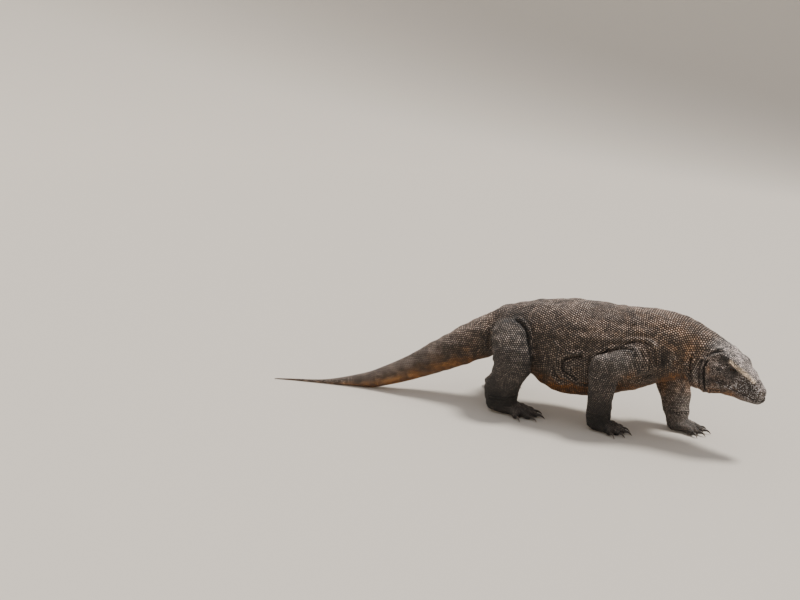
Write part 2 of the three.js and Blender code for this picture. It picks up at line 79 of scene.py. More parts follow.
def unit(v):
    """Each vector divided by its own length."""
    return v / np.maximum(np.linalg.norm(v, axis=-1, keepdims=True), 1e-9)


def crossed(a, b):
    """Two grids that pair each value of a with each value of b."""
    return np.meshgrid(a, b, indexing="ij")


def paired(a, b):
    """Two numbers or arrays as arrays of one shape."""
    return np.broadcast_arrays(np.asarray(a, float), np.asarray(b, float))


def circle(count):
    """Angles of so many places evenly round a circle."""
    return np.linspace(0, 2 * np.pi, count, endpoint=False)


def distances(points):
    """Distance of each point from the first, along the line through them."""
    return np.concatenate([[0], np.cumsum(np.linalg.norm(np.diff(points, axis=0), axis=1))])


def bell(x, at=0, width=1):
    """exp(-u u), where u is the distance of x from its place in widths."""
    return np.exp(-(((x - at) / width) ** 2))


def smoothstep(x, low, high):
    """3 t t - 2 t t t, where t runs from 0 at low to 1 at high."""
    t = np.clip((np.asarray(x, float) - low) / (high - low), 0, 1)
    return t * t * (3 - 2 * t)


def smooth_table(rows):
    """A function of the first column that gives all columns: a cubic between two rows, whose slope at
    a row is the harmonic mean of the rises on both sides, or 0 where they differ in sign."""
    rows = np.asarray(rows, float)
    at, span = rows[:, 0], np.diff(rows[:, 0])
    rise = np.diff(rows, axis=0) / span[:, None]
    before, after = np.vstack([rise[:1], rise]), np.vstack([rise, rise[-1:]])
    agree = before * after > 0
    slope = np.where(agree, 2 * before * after / np.where(agree, before + after, 1), 0)

    def values(position):
        position = np.asarray(position, float)
        i = np.clip(np.searchsorted(at, position, side="right") - 1, 0, len(span) - 1)
        t = ((position - at[i]) / span[i])[..., None]
        width = span[i][..., None]
        start = (1 + 2 * t) * (1 - t) ** 2 * rows[i] + t * (1 - t) ** 2 * width * slope[i]
        return start + t * t * (3 - 2 * t) * rows[i + 1] + t * t * (t - 1) * width * slope[i + 1]

    return values


def measured(rows):
    """The rows with the distance along their points in front."""
    rows = np.asarray(rows, float)
    return np.column_stack([distances(rows[:, :3]), rows])


# %% [markdown]
# ## Spine and head
#
# The spine's table runs from the tip of the tail to inside the head. Its sections are ellipses
# whose upper and lower halves differ, with corners that fill out as the squareness passes 2. The
# head's sections are curves through named places: crown, brow, the hollow under the brow, cheek,
# lips, jaw and chin. In the last 150 mm of the neck the one kind of section turns into the other.
#
# The way round is a share called turn: 0 on the back, 0.25 on the animal's right side, 0.5 under
# the belly and 0.75 on its left. The same number then means the same part of the animal from the
# snout to the tail, which later lays the rows of scales.

# %% Sections of the spine
# x, y, z of the middle, half width, height above it, depth below it, squareness
SPINE = [
    [-1385, -372, 3.2, 2.2, 2.4, 2.6, 2],
    [-1303, -342, 5.5, 4.5, 5, 5.4, 2],
    [-1134, -291, 11, 9, 11, 11, 2],
    [-1057, -266, 17, 14, 18, 17.2, 2],
    [-980, -240, 27, 21, 28, 27.3, 2],
    [-854, -200, 49, 34, 46, 48.6, 2],
    [-762, -172, 83, 45, 57, 58, 2],
    [-670, -145, 124, 56, 67, 67, 2],
    [-529, -95, 198, 72, 86, 86, 2],
    [-388, -52, 281, 87, 101, 102, 2.1],
    [-299, -28, 335, 97, 109, 112, 2.1],
    [-203, -8, 387, 110, 116, 122, 2.1],
    [-100, 0, 420, 136, 148, 160, 2.1],
    [44, 0, 425, 174, 192, 228, 2.15],
    [245, 0, 415, 208, 235, 292, 2.15],
    [358, 0, 415, 210, 239, 282, 2.15],
    [519, 0, 435, 196, 221, 242, 2.15],
    [711, -2, 475, 166, 192, 197, 2.2],
    [841, -10, 482, 136, 169, 170, 2.2],
    [930, -23, 472, 112, 146, 158, 2.2],
]
HEAD_YAW, HEAD_PITCH = math.radians(-15), math.radians(-21.5)
NECK_JOINT = np.array([952.0, -27.0, 461.0])
HEAD_AXIS = np.array([
    math.cos(HEAD_YAW) * math.cos(HEAD_PITCH),
    math.sin(HEAD_YAW) * math.cos(HEAD_PITCH),
    math.sin(HEAD_PITCH),
])
HEAD_SIDE = unit(np.cross(HEAD_AXIS, UPWARDS))
HEAD_UP = np.cross(HEAD_SIDE, HEAD_AXIS)
NECK_BLEND = 150

# distance from the neck joint, crown, brow, hollow, cheek, lips, jaw, chin
HEAD = [
    [0, 132, 87, 94, 105, 50, 112, 8, 108, -44, 100, -104, -158],
    [45, 131, 85, 99, 103, 54, 112, 12, 106, -42, 98, -106, -156],
    [90, 127, 82, 102, 94, 58, 107, 14, 101, -40, 93, -104, -150],
    [125, 121, 80, 102, 80, 62, 98, 14, 93, -38, 83, -94, -140],
    [150, 115, 79, 100, 70, 60, 86, 12, 83, -37, 74, -84, -126],
    [175, 110, 76, 95, 64, 53, 74, 9, 75, -36, 66, -76, -112],
    [205, 102, 66, 87, 56, 45, 63, 5, 67, -34, 58, -67, -101],
    [240, 88, 54, 72, 47, 35, 54, 1, 58, -33, 50, -59, -91],
    [275, 72, 44, 56, 39, 26, 46, -3, 50, -31, 43, -54, -80],
    [315, 53, 35, 36, 33, 15, 38, -6, 42, -29, 36, -47, -67],
    [342, 37, 27, 21, 28, 7, 31, -9, 33, -26, 27, -41, -56],
    [357, 20, 17, 8, 20, -1, 20, -12, 21, -23, 17, -34, -44],
    [365, 2, 7, -2, 8, -7, 8, -13, 8, -19, 7, -27, -31],
]
SNOUT_END, SNOUT_CAP = 365.0, 6.0
EYE_AT, EYE_RADIUS = np.array([162.0, 59.0, 53.0]), 13.5
MOUTH_TURN = 0.255

# turn at which the head's outline passes each of its named places, from crown to chin
PLACES = np.array([0, 0.045, 0.088, 0.135, 0.19, 0.236, MOUTH_TURN, 0.275, 0.33, 0.42, 0.5])
head_table = smooth_table(HEAD)


def head_outline(along, turn):
    """Across and up of the head's section: a centripetal Catmull-Rom curve through the places, whose
    tangents are (b-a)/s - (c-a)/(s+t) + (c-b)/t for knot steps s, t, the root of each chord."""
    row = head_table(along)
    crown, brow, hollow, cheek = row[..., 1], row[..., 2:4], row[..., 4:6], row[..., 6:8]
    lip, mouth, jaw, chin = row[..., 8], row[..., 9], row[..., 10:12], row[..., 12]
    point = lambda across, up: np.stack(np.broadcast_arrays(across, up), -1)
    right = [
        point(0 * crown, crown),
        point(brow[..., 0] * 0.5, crown - (crown - brow[..., 1]) * 0.18),
        brow,
        hollow,
        cheek,
        point(lip, mouth + 9),
        point(lip, mouth),
        point(lip, mouth - 9),
        jaw,
        point(jaw[..., 0] * 0.55, chin + (jaw[..., 1] - chin) * 0.16),
        point(0 * chin, chin),
    ]
    places = np.stack(right, -2)
    mirrored = places[..., -2:0:-1, :] * np.array([-1, 1])
    loop = np.concatenate([places, mirrored], -2)
    knots = np.concatenate([PLACES, 1 - PLACES[-2:0:-1], [1]])
    turn = np.asarray(turn, float) % 1
    count = loop.shape[-2]
    i = np.clip(np.searchsorted(knots, turn, side="right") - 1, 0, count - 1)
    t = ((turn - knots[i]) / (knots[i + 1] - knots[i]))[..., None]
    place = lambda k: np.take_along_axis(loop, ((i + k) % count)[..., None, None], -2)[..., 0, :]
    a, b, c, d = place(-1), place(0), place(1), place(2)
    chord = lambda p, q: np.sqrt(np.maximum(np.linalg.norm(q - p, axis=-1, keepdims=True), 1e-6))
    r, s, u = chord(a, b), chord(b, c), chord(c, d)
    leave = s * ((b - a) / r - (c - a) / (r + s) + (c - b) / s)
    arrive = s * ((c - b) / s - (d - b) / (s + u) + (d - c) / u)
    return (
        (1 + 2 * t) * (1 - t) ** 2 * b
        + t * (1 - t) ** 2 * leave
        + t * t * (3 - 2 * t) * c
        + t * t * (t - 1) * arrive
    )


def head_point(along, across, up):
    """Neck joint + along, across and up the head's own three directions."""
    return NECK_JOINT + along * HEAD_AXIS + across * HEAD_SIDE + up * HEAD_UP


def head_surface(along, turn):
    """The outline at each distance. Past the last section it shrinks by the root of 1 - c c, which
    rounds off the tip of the snout."""
    along, turn = paired(along, turn)
    outline = head_outline(np.clip(along, 0, SNOUT_END), turn)
    cap = np.clip((along - SNOUT_END) / SNOUT_CAP, 0, 1)
    shrink = np.sqrt(np.maximum(1 - cap * cap, 0))[..., None]
    middle = np.array([0, -15.0])
    outline = np.where(cap[..., None] > 0, middle + (outline - middle) * shrink, outline)
    return head_point(along[..., None], outline[..., :1], outline[..., 1:])


# %% One surface from the tail to the snout
inside_head = [
    [*(NECK_JOINT + HEAD_AXIS * extra), HEAD[0][6], HEAD[0][1], -HEAD[0][12], 2.3] for extra in (0, 60)
]
spine_rows = measured(SPINE + inside_head)
spine_table = smooth_table(spine_rows)
NECK_END = spine_rows[-2, 0]
BODY_END = NECK_END + SNOUT_END + SNOUT_CAP


def spine_frame(along):
    """Middle, forward, side and up. Forward joins the middles 4 mm before and behind, and turns into
    the head's axis along the neck. Side is level and square to it, and up is square to both."""
    forward = unit(spine_table(along + 4)[..., 1:4] - spine_table(np.maximum(along - 4, 0))[..., 1:4])
    turned_in = smoothstep(along, NECK_END - NECK_BLEND, NECK_END)[..., None]
    forward = unit(forward + (HEAD_AXIS - forward) * turned_in)
    side = unit(np.cross(forward, UPWARDS))
    return spine_table(along)[..., 1:4], forward, side, np.cross(side, forward)


rear_turns = np.linspace(0, 1, 721)
rear_outline = head_outline(np.zeros(721), rear_turns)
rear_angles = np.unwrap(np.arctan2(rear_outline[:, 1], rear_outline[:, 0]))
rear_order = np.argsort(rear_angles % (2 * np.pi))
rear_reaches = np.linalg.norm(rear_outline, axis=1)[rear_order]
rear_sorted = (rear_angles % (2 * np.pi))[rear_order]


def trunk_surface(along, turn):
    """Middle + reach (side cos a + up sin a). The angle a falls from a quarter turn at the back. Reach
    solves |cos a r / w|^n + |sin a r / h|^n = 1, and nears the head's rear outline along the neck."""
    along, turn = paired(along, turn)
    row = spine_table(along)
    width, above, below, square = (row[..., k] for k in (4, 5, 6, 7))
    blend = smoothstep(along, NECK_END - NECK_BLEND, NECK_END)
    share = turn % 1
    angle = (0.25 - share) * 2 * np.pi
    angle = angle + (np.interp(share, rear_turns, rear_angles) - angle) * blend
    cos, sin = np.cos(angle), np.sin(angle)
    height = np.where(sin > 0, above, below)
    reach = (np.abs(cos / width) ** square + np.abs(sin / height) ** square) ** (-1 / square)
    rear = np.interp(angle % (2 * np.pi), rear_sorted, rear_reaches, period=2 * np.pi)
    reach = reach + (rear - reach) * blend
    middle, _, side, up = spine_frame(along)
    return middle + reach[..., None] * (cos[..., None] * side + sin[..., None] * up)


def body_surface(along, turn):
    """The trunk's surface up to the neck joint, and the head's beyond it."""
    along, turn = paired(along, turn)
    ahead = (along > NECK_END)[..., None]
    trunk = trunk_surface(np.minimum(along, NECK_END), turn)
    return np.where(ahead, head_surface(np.maximum(along - NECK_END, 0), turn), trunk)


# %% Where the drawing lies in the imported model
left_eye, right_eye = np.mean(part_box("eye_left"), axis=0), np.mean(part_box("eye_right"), axis=0)
DRAWING_AT = left_eye - head_point(EYE_AT[0], -EYE_AT[1], EYE_AT[2]) * MM
other_error = np.linalg.norm(right_eye - DRAWING_AT - head_point(*EYE_AT) * MM)
DRAWING_AT[2] = 0
print("drawing set at", DRAWING_AT.round(5), "other eye off by", round(float(other_error), 5), "m")


def placed(points):
    """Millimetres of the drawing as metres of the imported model."""
    return np.asarray(points) * MM + DRAWING_AT


def in_drawing(points):
    """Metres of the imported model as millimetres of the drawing."""
    return (points - DRAWING_AT) / MM


# %% [markdown]
# ## Limbs and feet
#
# A limb is a tube too. Its sections lie square to its own line, with one half size fore and aft and
# one across. A foot is a low pad with five toes that arch down to the floor. All of them are closed
# tubes that reach well into each other, since the next step melts them together.

# %% Tables of the limbs and feet
# x, y, z, half breadth fore and aft, half thickness across, from inside the body down to the sole
LIMBS = {
    "hind_right": [
        [-70, -70, 470, 100, 62],
        [-62, -150, 440, 104, 74],
        [-40, -198, 375, 104, 78],
        [-22, -220, 300, 104, 74],
        [-45, -212, 215, 88, 64],
        [-78, -190, 130, 98, 62],
        [-80, -182, 84, 93, 58],
        [-70, -176, 30, 80, 52],
    ],
    "hind_left": [
        [-75, 70, 470, 98, 62],
        [-85, 150, 440, 102, 74],
        [-95, 196, 375, 100, 78],
        [-118, 216, 300, 92, 72],
        [-154, 216, 215, 76, 60],
        [-190, 211, 135, 62, 53],
        [-200, 208, 88, 60, 51],
        [-208, 208, 30, 54, 48],
    ],
    "fore_right": [
        [484, -228, 436, 26, 22],
        [483, -228, 420, 54, 42],
        [480, -227, 390, 72, 54],
        [474, -226, 330, 76, 57],
        [472, -220, 270, 73, 55],
        [466, -192, 170, 64, 50],
        [460, -172, 84, 66, 50],
        [464, -162, 30, 60, 48],
    ],
    "fore_left": [
        [700, 70, 455, 64, 56],
        [722, 140, 410, 84, 64],
        [742, 164, 345, 92, 64],
        [770, 156, 280, 98, 58],
        [806, 128, 180, 84, 52],
        [830, 98, 84, 64, 50],
        [843, 88, 30, 52, 46],
    ],
}
FOLDED_UPPER_ARM = [
    [700, -60, 480, 70, 56],
    [640, -150, 432, 84, 62],
    [560, -205, 396, 76, 58],
    [486, -226, 372, 66, 50],
]
# middle of the sole, heading outwards in degrees, and length, width and height of the pad
FEET = {
    "hind_right": [(-34, -166), 2, (190, 124, 78)],
    "hind_left": [(-232, 212), 62, (130, 118, 74)],
    "fore_right": [(484, -154), 2, (138, 112, 70)],
    "fore_left": [(860, 84), 6, (138, 112, 70)],
}
# angle from the heading and length, from the innermost toe to the outermost
HIND_TOES = [(-44, 66), (-22, 88), (-2, 98), (19, 92), (48, 62)]
FORE_TOES = [(-44, 58), (-22, 70), (-1, 76), (20, 70), (44, 54)]
TOE_RADIUS, CLAW_LENGTH, CLAW_RADIUS = 22, 40, 8.5
# along the pad as a share of its length, height of the middle, half width, half height as shares
PAD = [
    (-0.5, 0.36, 0.2, 0.26),
    (-0.38, 0.42, 0.4, 0.46),
    (-0.05, 0.46, 0.5, 0.52),
    (0.3, 0.36, 0.52, 0.42),
    (0.5, 0.3, 0.38, 0.3),
]


def limb_surface(rows):
    """A function of distance and turn: middle + fore-and-aft b |cos|^p + across t |sin|^p, where p is
    2 over the squareness 2.25, across is +Y made square to the limb, and signs are kept."""
    table_rows = measured(rows)
    table, end = smooth_table(table_rows), table_rows[-1, 0]

    def surface(along, turn):
        along, turn = paired(along, turn)
        row = table(along)
        down = unit(table(np.minimum(along + 3, end))[..., 1:4] - table(np.maximum(along - 3, 0))[..., 1:4])
        across = unit(np.array([0.0, 1.0, 0.0]) - down * down[..., 1:2])
        fore = np.cross(across, down)
        angle = 2 * np.pi * turn
        c, s = np.cos(angle), np.sin(angle)
        power = 2 / 2.25
        wide = row[..., 4] * np.sign(c) * np.abs(c) ** power
        thick = row[..., 5] * np.sign(s) * np.abs(s) ** power
        return row[..., 1:4] + wide[..., None] * fore + thick[..., None] * across

    return surface, end


def round_tube(rows):
    """A function of distance and turn for a nearly level tube with elliptic sections. Its rows are
    x, y, z, half size across and half size upright, and turn 0 is its upper side."""
    table_rows = measured(rows)
    table, end = smooth_table(table_rows), table_rows[-1, 0]

    def surface(along, turn):
        along, turn = paired(along, turn)
        row = table(along)
        ahead, behind = table(np.minimum(along + 2, end)), table(np.maximum(along - 2, 0))
        forward = unit(ahead[..., 1:4] - behind[..., 1:4])
        side = unit(np.cross(forward, UPWARDS))
        up = np.cross(side, forward)
        angle = 2 * np.pi * turn
        across = (row[..., 4] * np.sin(angle))[..., None] * side
        return row[..., 1:4] + across + (row[..., 5] * np.cos(angle))[..., None] * up

    return surface, end


# %% Feet, toes and the lines of the claws
def turned(angle):
    """A level unit vector at an angle in degrees."""
    return np.array([math.cos(math.radians(angle)), math.sin(math.radians(angle)), 0.0])


def foot_parts(name):
    """The pad's tube, the toes' tubes and each claw's rows for one foot. Toes fan out from the heading,
    and their roots shift sideways and back by the sine of their angle."""
    (x, y), heading, (length, width, height) = FEET[name]
    outwards = -1 if name.endswith("right") else 1
    forward = turned(heading * outwards)
    leftward = np.cross(UPWARDS, forward)
    middle = np.array([x, y, 0.0])
    pad = round_tube([
        [*(middle + forward * (length * at) + UPWARDS * (height * up)), width * across, height * upright]
        for at, up, across, upright in PAD
    ])
    hind = name.startswith("hind")
    scale = 1.05 if hind else 0.95
    toes, claws = [], []
    for turn, reach in HIND_TOES if hind else FORE_TOES:
        direction = turned((heading + turn) * outwards)
        sideways = math.sin(math.radians(turn)) * outwards
        root = middle + forward * length * (0.36 - 0.24 * abs(sideways)) + leftward * sideways * width * 0.42
        at = lambda d, h, across, upright: [*(root + direction * d + UPWARDS * h), across, upright]
        thick = TOE_RADIUS * scale
        toes.append(round_tube([
            at(-30, 30, thick * 1.15, thick * 1.1),
            at(reach * 0.15, 29, thick * 0.95, thick * 0.97),
            at(reach * 0.38, 28, thick * 1.0, thick * 1.06),
            at(reach * 0.6, 22, thick * 0.84, thick * 0.86),
            at(reach * 0.82, 17.5, thick * 0.86, thick * 0.84),
            at(reach, 14, thick * 0.5, thick * 0.5),
        ]))
        claws.append((root, direction, reach, CLAW_LENGTH * scale, scale))
    return pad, toes, claws


feet = {name: foot_parts(name) for name in FEET}
print("toes and claws:", sum(len(toes) for _, toes, _ in feet.values()))

# %% [markdown]
# ## Melting trunk and legs into one skin
#
# Separate tubes would show a hard line where a thigh leaves the trunk, but real skin flows over it.
# So the tubes are turned into distance fields: arrays that hold, for each small cube of space, how
# far it is from the surface. Two fields are joined by a soft minimum, which rounds off the hollow
# between them, and one mesh is drawn where the result is minus the depth of the coat of scales.

# %% Closed tubes, and distance fields from them
VOXEL = 0.0085  # side of a cube, in metres
BAND = 7.0  # depth in cubes, on both sides of a surface, to which distances are worked out


def grid_faces(rings, sides, close_start=False, close_end=False):
    """Quads of a grid whose rings are closed, facing outwards, and a fan of triangles where an end is
    closed. A closed end's middle is one more point, the start's before the end's."""
    i, j = crossed(np.arange(rings - 1), np.arange(sides))
    a, b = i * sides + j, i * sides + (j + 1) % sides
    quads = np.stack([a, b, b + sides, a + sides], -1).reshape(-1, 4)
    k, extra, last = np.arange(sides), rings * sides, (rings - 1) * sides
    fans = [np.empty((0, 3), int)]
    if close_start:
        fans.append(np.stack([(k + 1) % sides, k, np.full(sides, extra)], -1))
        extra += 1
    if close_end:
        fans.append(np.stack([last + k, last + (k + 1) % sides, np.full(sides, extra)], -1))
    return quads, np.vstack(fans)


def tube_mesh(surface, places, sides):
    """Points, quads and triangles of a closed tube, whose fans meet in the middles of its end rings."""
    points = surface(*crossed(places, np.arange(sides) / sides))
    ends = [points[0].mean(0), points[-1].mean(0)]
    return np.vstack([points.reshape(-1, 3), ends]), *grid_faces(len(places), sides, True, True)


def tube_field(surface, places, sides, low, shape, voxel, band=BAND):
    """An array of signed distances to a closed tube, in metres, on a block of cubes from corner low."""
    points, quads, triangles = tube_mesh(surface, places, sides)
    volume = openvdb.FloatGrid.createLevelSetFromPolygons(
        ((placed(points) - low) / voxel).astype(np.float32),
        triangles=triangles.astype(np.uint32),
        quads=quads.astype(np.uint32),
        halfWidth=band,
    )
    field = np.empty(shape, np.float32)
    volume.copyToArray(field)
    return field * voxel


def melt(a, b, width):
    """Soft minimum of two fields: mix(b, a, h) - width h (1 - h), with h = 1/2 + (b - a) / (2 width)."""
    h = np.clip(0.5 + (b - a) / (2 * width), 0, 1)
    return b + (a - b) * h - width * h * (1 - h)


def along_at_height(rows, height):
    """Distance along a limb at which its middle line comes down to a height."""
    table_rows = measured(rows)
    places = np.linspace(0, table_rows[-1, 0], 2000)
    heights = smooth_table(table_rows)(places)[:, 3]
    return float(np.interp(-height, -heights, places))


TAIL_CUT = float(np.interp(-640, spine_rows[:, 1], spine_rows[:, 0]))
NECK_CUT = NECK_END - 62
ANKLE_CUT = 95.0

low = placed([-760, -330, 50])
high = placed([1010, 330, 700])
shape = np.ceil((high - low) / VOXEL).astype(int)
block = (low, shape, VOXEL)
limbs = {name: limb_surface(rows) for name, rows in LIMBS.items()}
upper_arm, upper_arm_end = limb_surface(FOLDED_UPPER_ARM)
fields = {"trunk": tube_field(trunk_surface, np.arange(TAIL_CUT - 120, NECK_END + 30, 9.0), 128, *block)}
for name, (surface, end) in limbs.items():
    fields[name] = tube_field(surface, np.linspace(0, end, 60), 64, *block)
fields["upper_arm"] = tube_field(upper_arm, np.linspace(0, upper_arm_end, 40), 64, *block)
print("field of", shape, "cubes for", list(fields))

# %% The melted field of trunk and limbs
COAT_DEPTH = 1.8 * MM
near_arm = melt(fields["fore_right"], fields["upper_arm"], 0.016)
whole = melt(fields["trunk"], fields["hind_right"], 0.034)
whole = melt(whole, fields["hind_left"], 0.03)
whole = melt(whole, fields["fore_left"], 0.03)
whole = melt(whole, near_arm, 0.02)


def drawn(field, low, voxel, level):
    """Points and outward quads of the surface where a field has the level's value."""
    volume = openvdb.FloatGrid(background=float(field.max()))
    volume.copyFromArray(np.ascontiguousarray(field))
    points, quads = volume.convertToQuads(level)
    return low + points * voxel, quads[:, ::-1]


trunk_points, trunk_quads = drawn(whole, low, VOXEL, -COAT_DEPTH)
print("trunk and limbs:", len(trunk_quads), "quads")

# %% Feet at a finer grain
FOOT_VOXEL = 0.0048


def foot_block(name):
    """Corner and shape of the block of cubes that holds one foot and its ankle."""
    (x, y), heading, (length, _, _) = FEET[name]
    forward = turned(heading * (-1 if name.endswith("right") else 1))
    middle = np.array([x, y, 0.0]) + forward * 45
    reach = np.array([length * 0.5 + 130, length * 0.5 + 130, 0])
    corner = placed(middle - reach - UPWARDS * 24)
    return corner, np.ceil((placed(middle + reach + UPWARDS * 128) - corner) / FOOT_VOXEL).astype(int)


def foot_fields(name):
    """The fields of the ankle, the pad and each toe, and their melted sum cut flat at the floor."""
    corner, shape = foot_block(name)
    (pad, pad_end), toes, _ = feet[name]
    surface, end = limbs[name]
    start = along_at_height(LIMBS[name], 170)
    block = (corner, shape, FOOT_VOXEL, 6)
    parts = [tube_field(surface, np.linspace(start, end, 30), 48, *block)]
    parts.append(tube_field(pad, np.linspace(0, pad_end, 30), 40, *block))
    parts += [tube_field(toe, np.linspace(0, toe_end, 40), 28, *block) for toe, toe_end in toes]
    field = melt(parts[0], parts[1], 0.018)
    for part in parts[2:]:
        field = melt(field, part, 0.008)
    height = corner[2] + np.arange(shape[2]) * FOOT_VOXEL
    floor = 0.0006 - height[None, None, :]
    return corner, parts, np.maximum(field + COAT_DEPTH, floor).astype(np.float32)


foot_field = {name: foot_fields(name) for name in FEET}
foot_skins = {name: drawn(field, corner, FOOT_VOXEL, 0.0) for name, (corner, _, field) in foot_field.items()}
print("feet:", [len(quads) for _, quads in foot_skins.values()], "quads")

# %% Tail and head as plain grids
TAIL_SIDES = 46


def grid_normals(points):
    """Outward unit normals of a grid of rings: the cross product of the steps round and along it."""
    along = np.gradient(points, axis=0)
    around = np.roll(points, -1, axis=1) - np.roll(points, 1, axis=1)
    return unit(np.cross(around, along))


tail_places = np.concatenate([np.linspace(0, 60, 14)[:-1], np.arange(60, TAIL_CUT - 6, 7.6), [TAIL_CUT - 6]])
tail_turns = np.arange(TAIL_SIDES) / TAIL_SIDES
tail_grid = trunk_surface(*crossed(tail_places, tail_turns))
tail_depth = np.minimum(COAT_DEPTH / MM, 0.25 * spine_table(tail_places)[:, 4])
tail_grid = tail_grid - grid_normals(tail_grid) * tail_depth[:, None, None]
print("tail grid:", tail_grid.shape)

# %% Reading a field between its cubes
def sampled(field, low, voxel, points):
    """Value of a field at any points: the eight cubes round each one, weighted by nearness."""
    place = np.clip((points - low) / voxel, 0, np.array(field.shape) - 1.001)
    i = place.astype(int)
    f = place - i
    total = np.zeros(len(points))
    for corner in np.ndindex(2, 2, 2):
        weight = np.prod(np.where(corner, f, 1 - f), axis=1)
        total += weight * field[tuple((i + corner).T)]
    return total


def slope(field, low, voxel, points):
    """Unit direction in which a field grows: differences over a cube's width along x, y and z."""
    at = lambda step: sampled(field, low, voxel, points + step)
    return unit(np.stack([at(step) - at(-step) for step in np.eye(3) * voxel], -1))


def settled(field, low, voxel, points, level):
    """The points moved onto the surface where the field has a level, and the outward directions:
    p - (field(p) - level) slope(p), five times over."""
    for _ in range(5):
        outwards = slope(field, low, voxel, points)
        points = points - (sampled(field, low, voxel, points) - level)[:, None] * outwards
    return points, outwards


# %% [markdown]
# ## Folds and creases
#
# Loose skin hangs in folds where a limb swings or the neck bends. Each fold here is a crease along a
# short line of points: the skin sinks by a bell curve of the distance to the line and rises a little
# on both sides of it, as pinched skin does. The same sum of creases moves the skin and the roots of
# the scales, so the scales follow the folds exactly.

# %% Lines laid on the skin
def with_points(line, gap):
    """The line with a point at least every so many millimetres."""
    line = np.array(line, float)
    lengths = distances(line)
    places = np.linspace(0, lengths[-1], max(2, int(lengths[-1] / gap) + 1))
    return np.stack([np.interp(places, lengths, line[:, k]) for k in range(3)], -1)


def on_trunk(line):
    """The line moved onto the melted skin of trunk and limbs, and the outward direction along it."""
    points, outwards = settled(whole, low, VOXEL, placed(with_points(line, 14)), -COAT_DEPTH)
    return in_drawing(points), outwards


head_net = body_surface(*crossed(np.linspace(NECK_END - 90, BODY_END, 230), np.linspace(0, 1, 240)))
head_net_out, head_net = grid_normals(head_net).reshape(-1, 3), head_net.reshape(-1, 3)


def on_head(*places):
    """Points given along, across and up the head, moved onto its surface, on the animal's right and
    mirrored to its left, with the outward direction at each."""
    lines = []
    for sign in (1, -1):
        line = with_points([head_point(a, c * sign, u) for a, c, u in places], 12)
        nearest = np.linalg.norm(head_net[None] - line[:, None], axis=2).argmin(1)
        lines.append((head_net[nearest], head_net_out[nearest]))
    return lines


# %% Creases
# points of the line, outward directions, depth, half width
CREASES = []
for line, depth, width in [
    ([(47, 112, -2), (57, 112, -27), (75, 109, -65), (92, 97, -104), (104, 76, -130),
      (112, 46, -148)], 9, 6.5),
    ([(20, 113, 24), (28, 112, -20), (48, 108, -66), (68, 92, -108), (82, 64, -138)], 6.5, 6.5),
    ([(-34, 112, 10), (-24, 111, -30), (-4, 106, -74), (20, 90, -112), (40, 62, -142)], 8, 7.5),
    ([(-68, 110, -20), (-60, 108, -60), (-40, 94, -100), (-14, 66, -138)], 4.5, 7),
    ([(112, 92, -108), (136, 84, -98), (168, 68, -84)], 4, 5),
    ([(126, 66, -126), (150, 56, -110), (180, 46, -98)], 2.2, 6),
    ([(186, 62, 44), (200, 62, 30), (196, 68, 14)], 1.3, 4),
    ([(132, 80, 62), (120, 92, 48), (112, 98, 28), (116, 96, 8)], 2.2, 6),
    ([(26, 96, 48), (40, 92, 76), (58, 84, 98), (78, 76, 110)], 5, 6.5),
]:
    CREASES += [(*laid, depth, width) for laid in on_head(*line)]

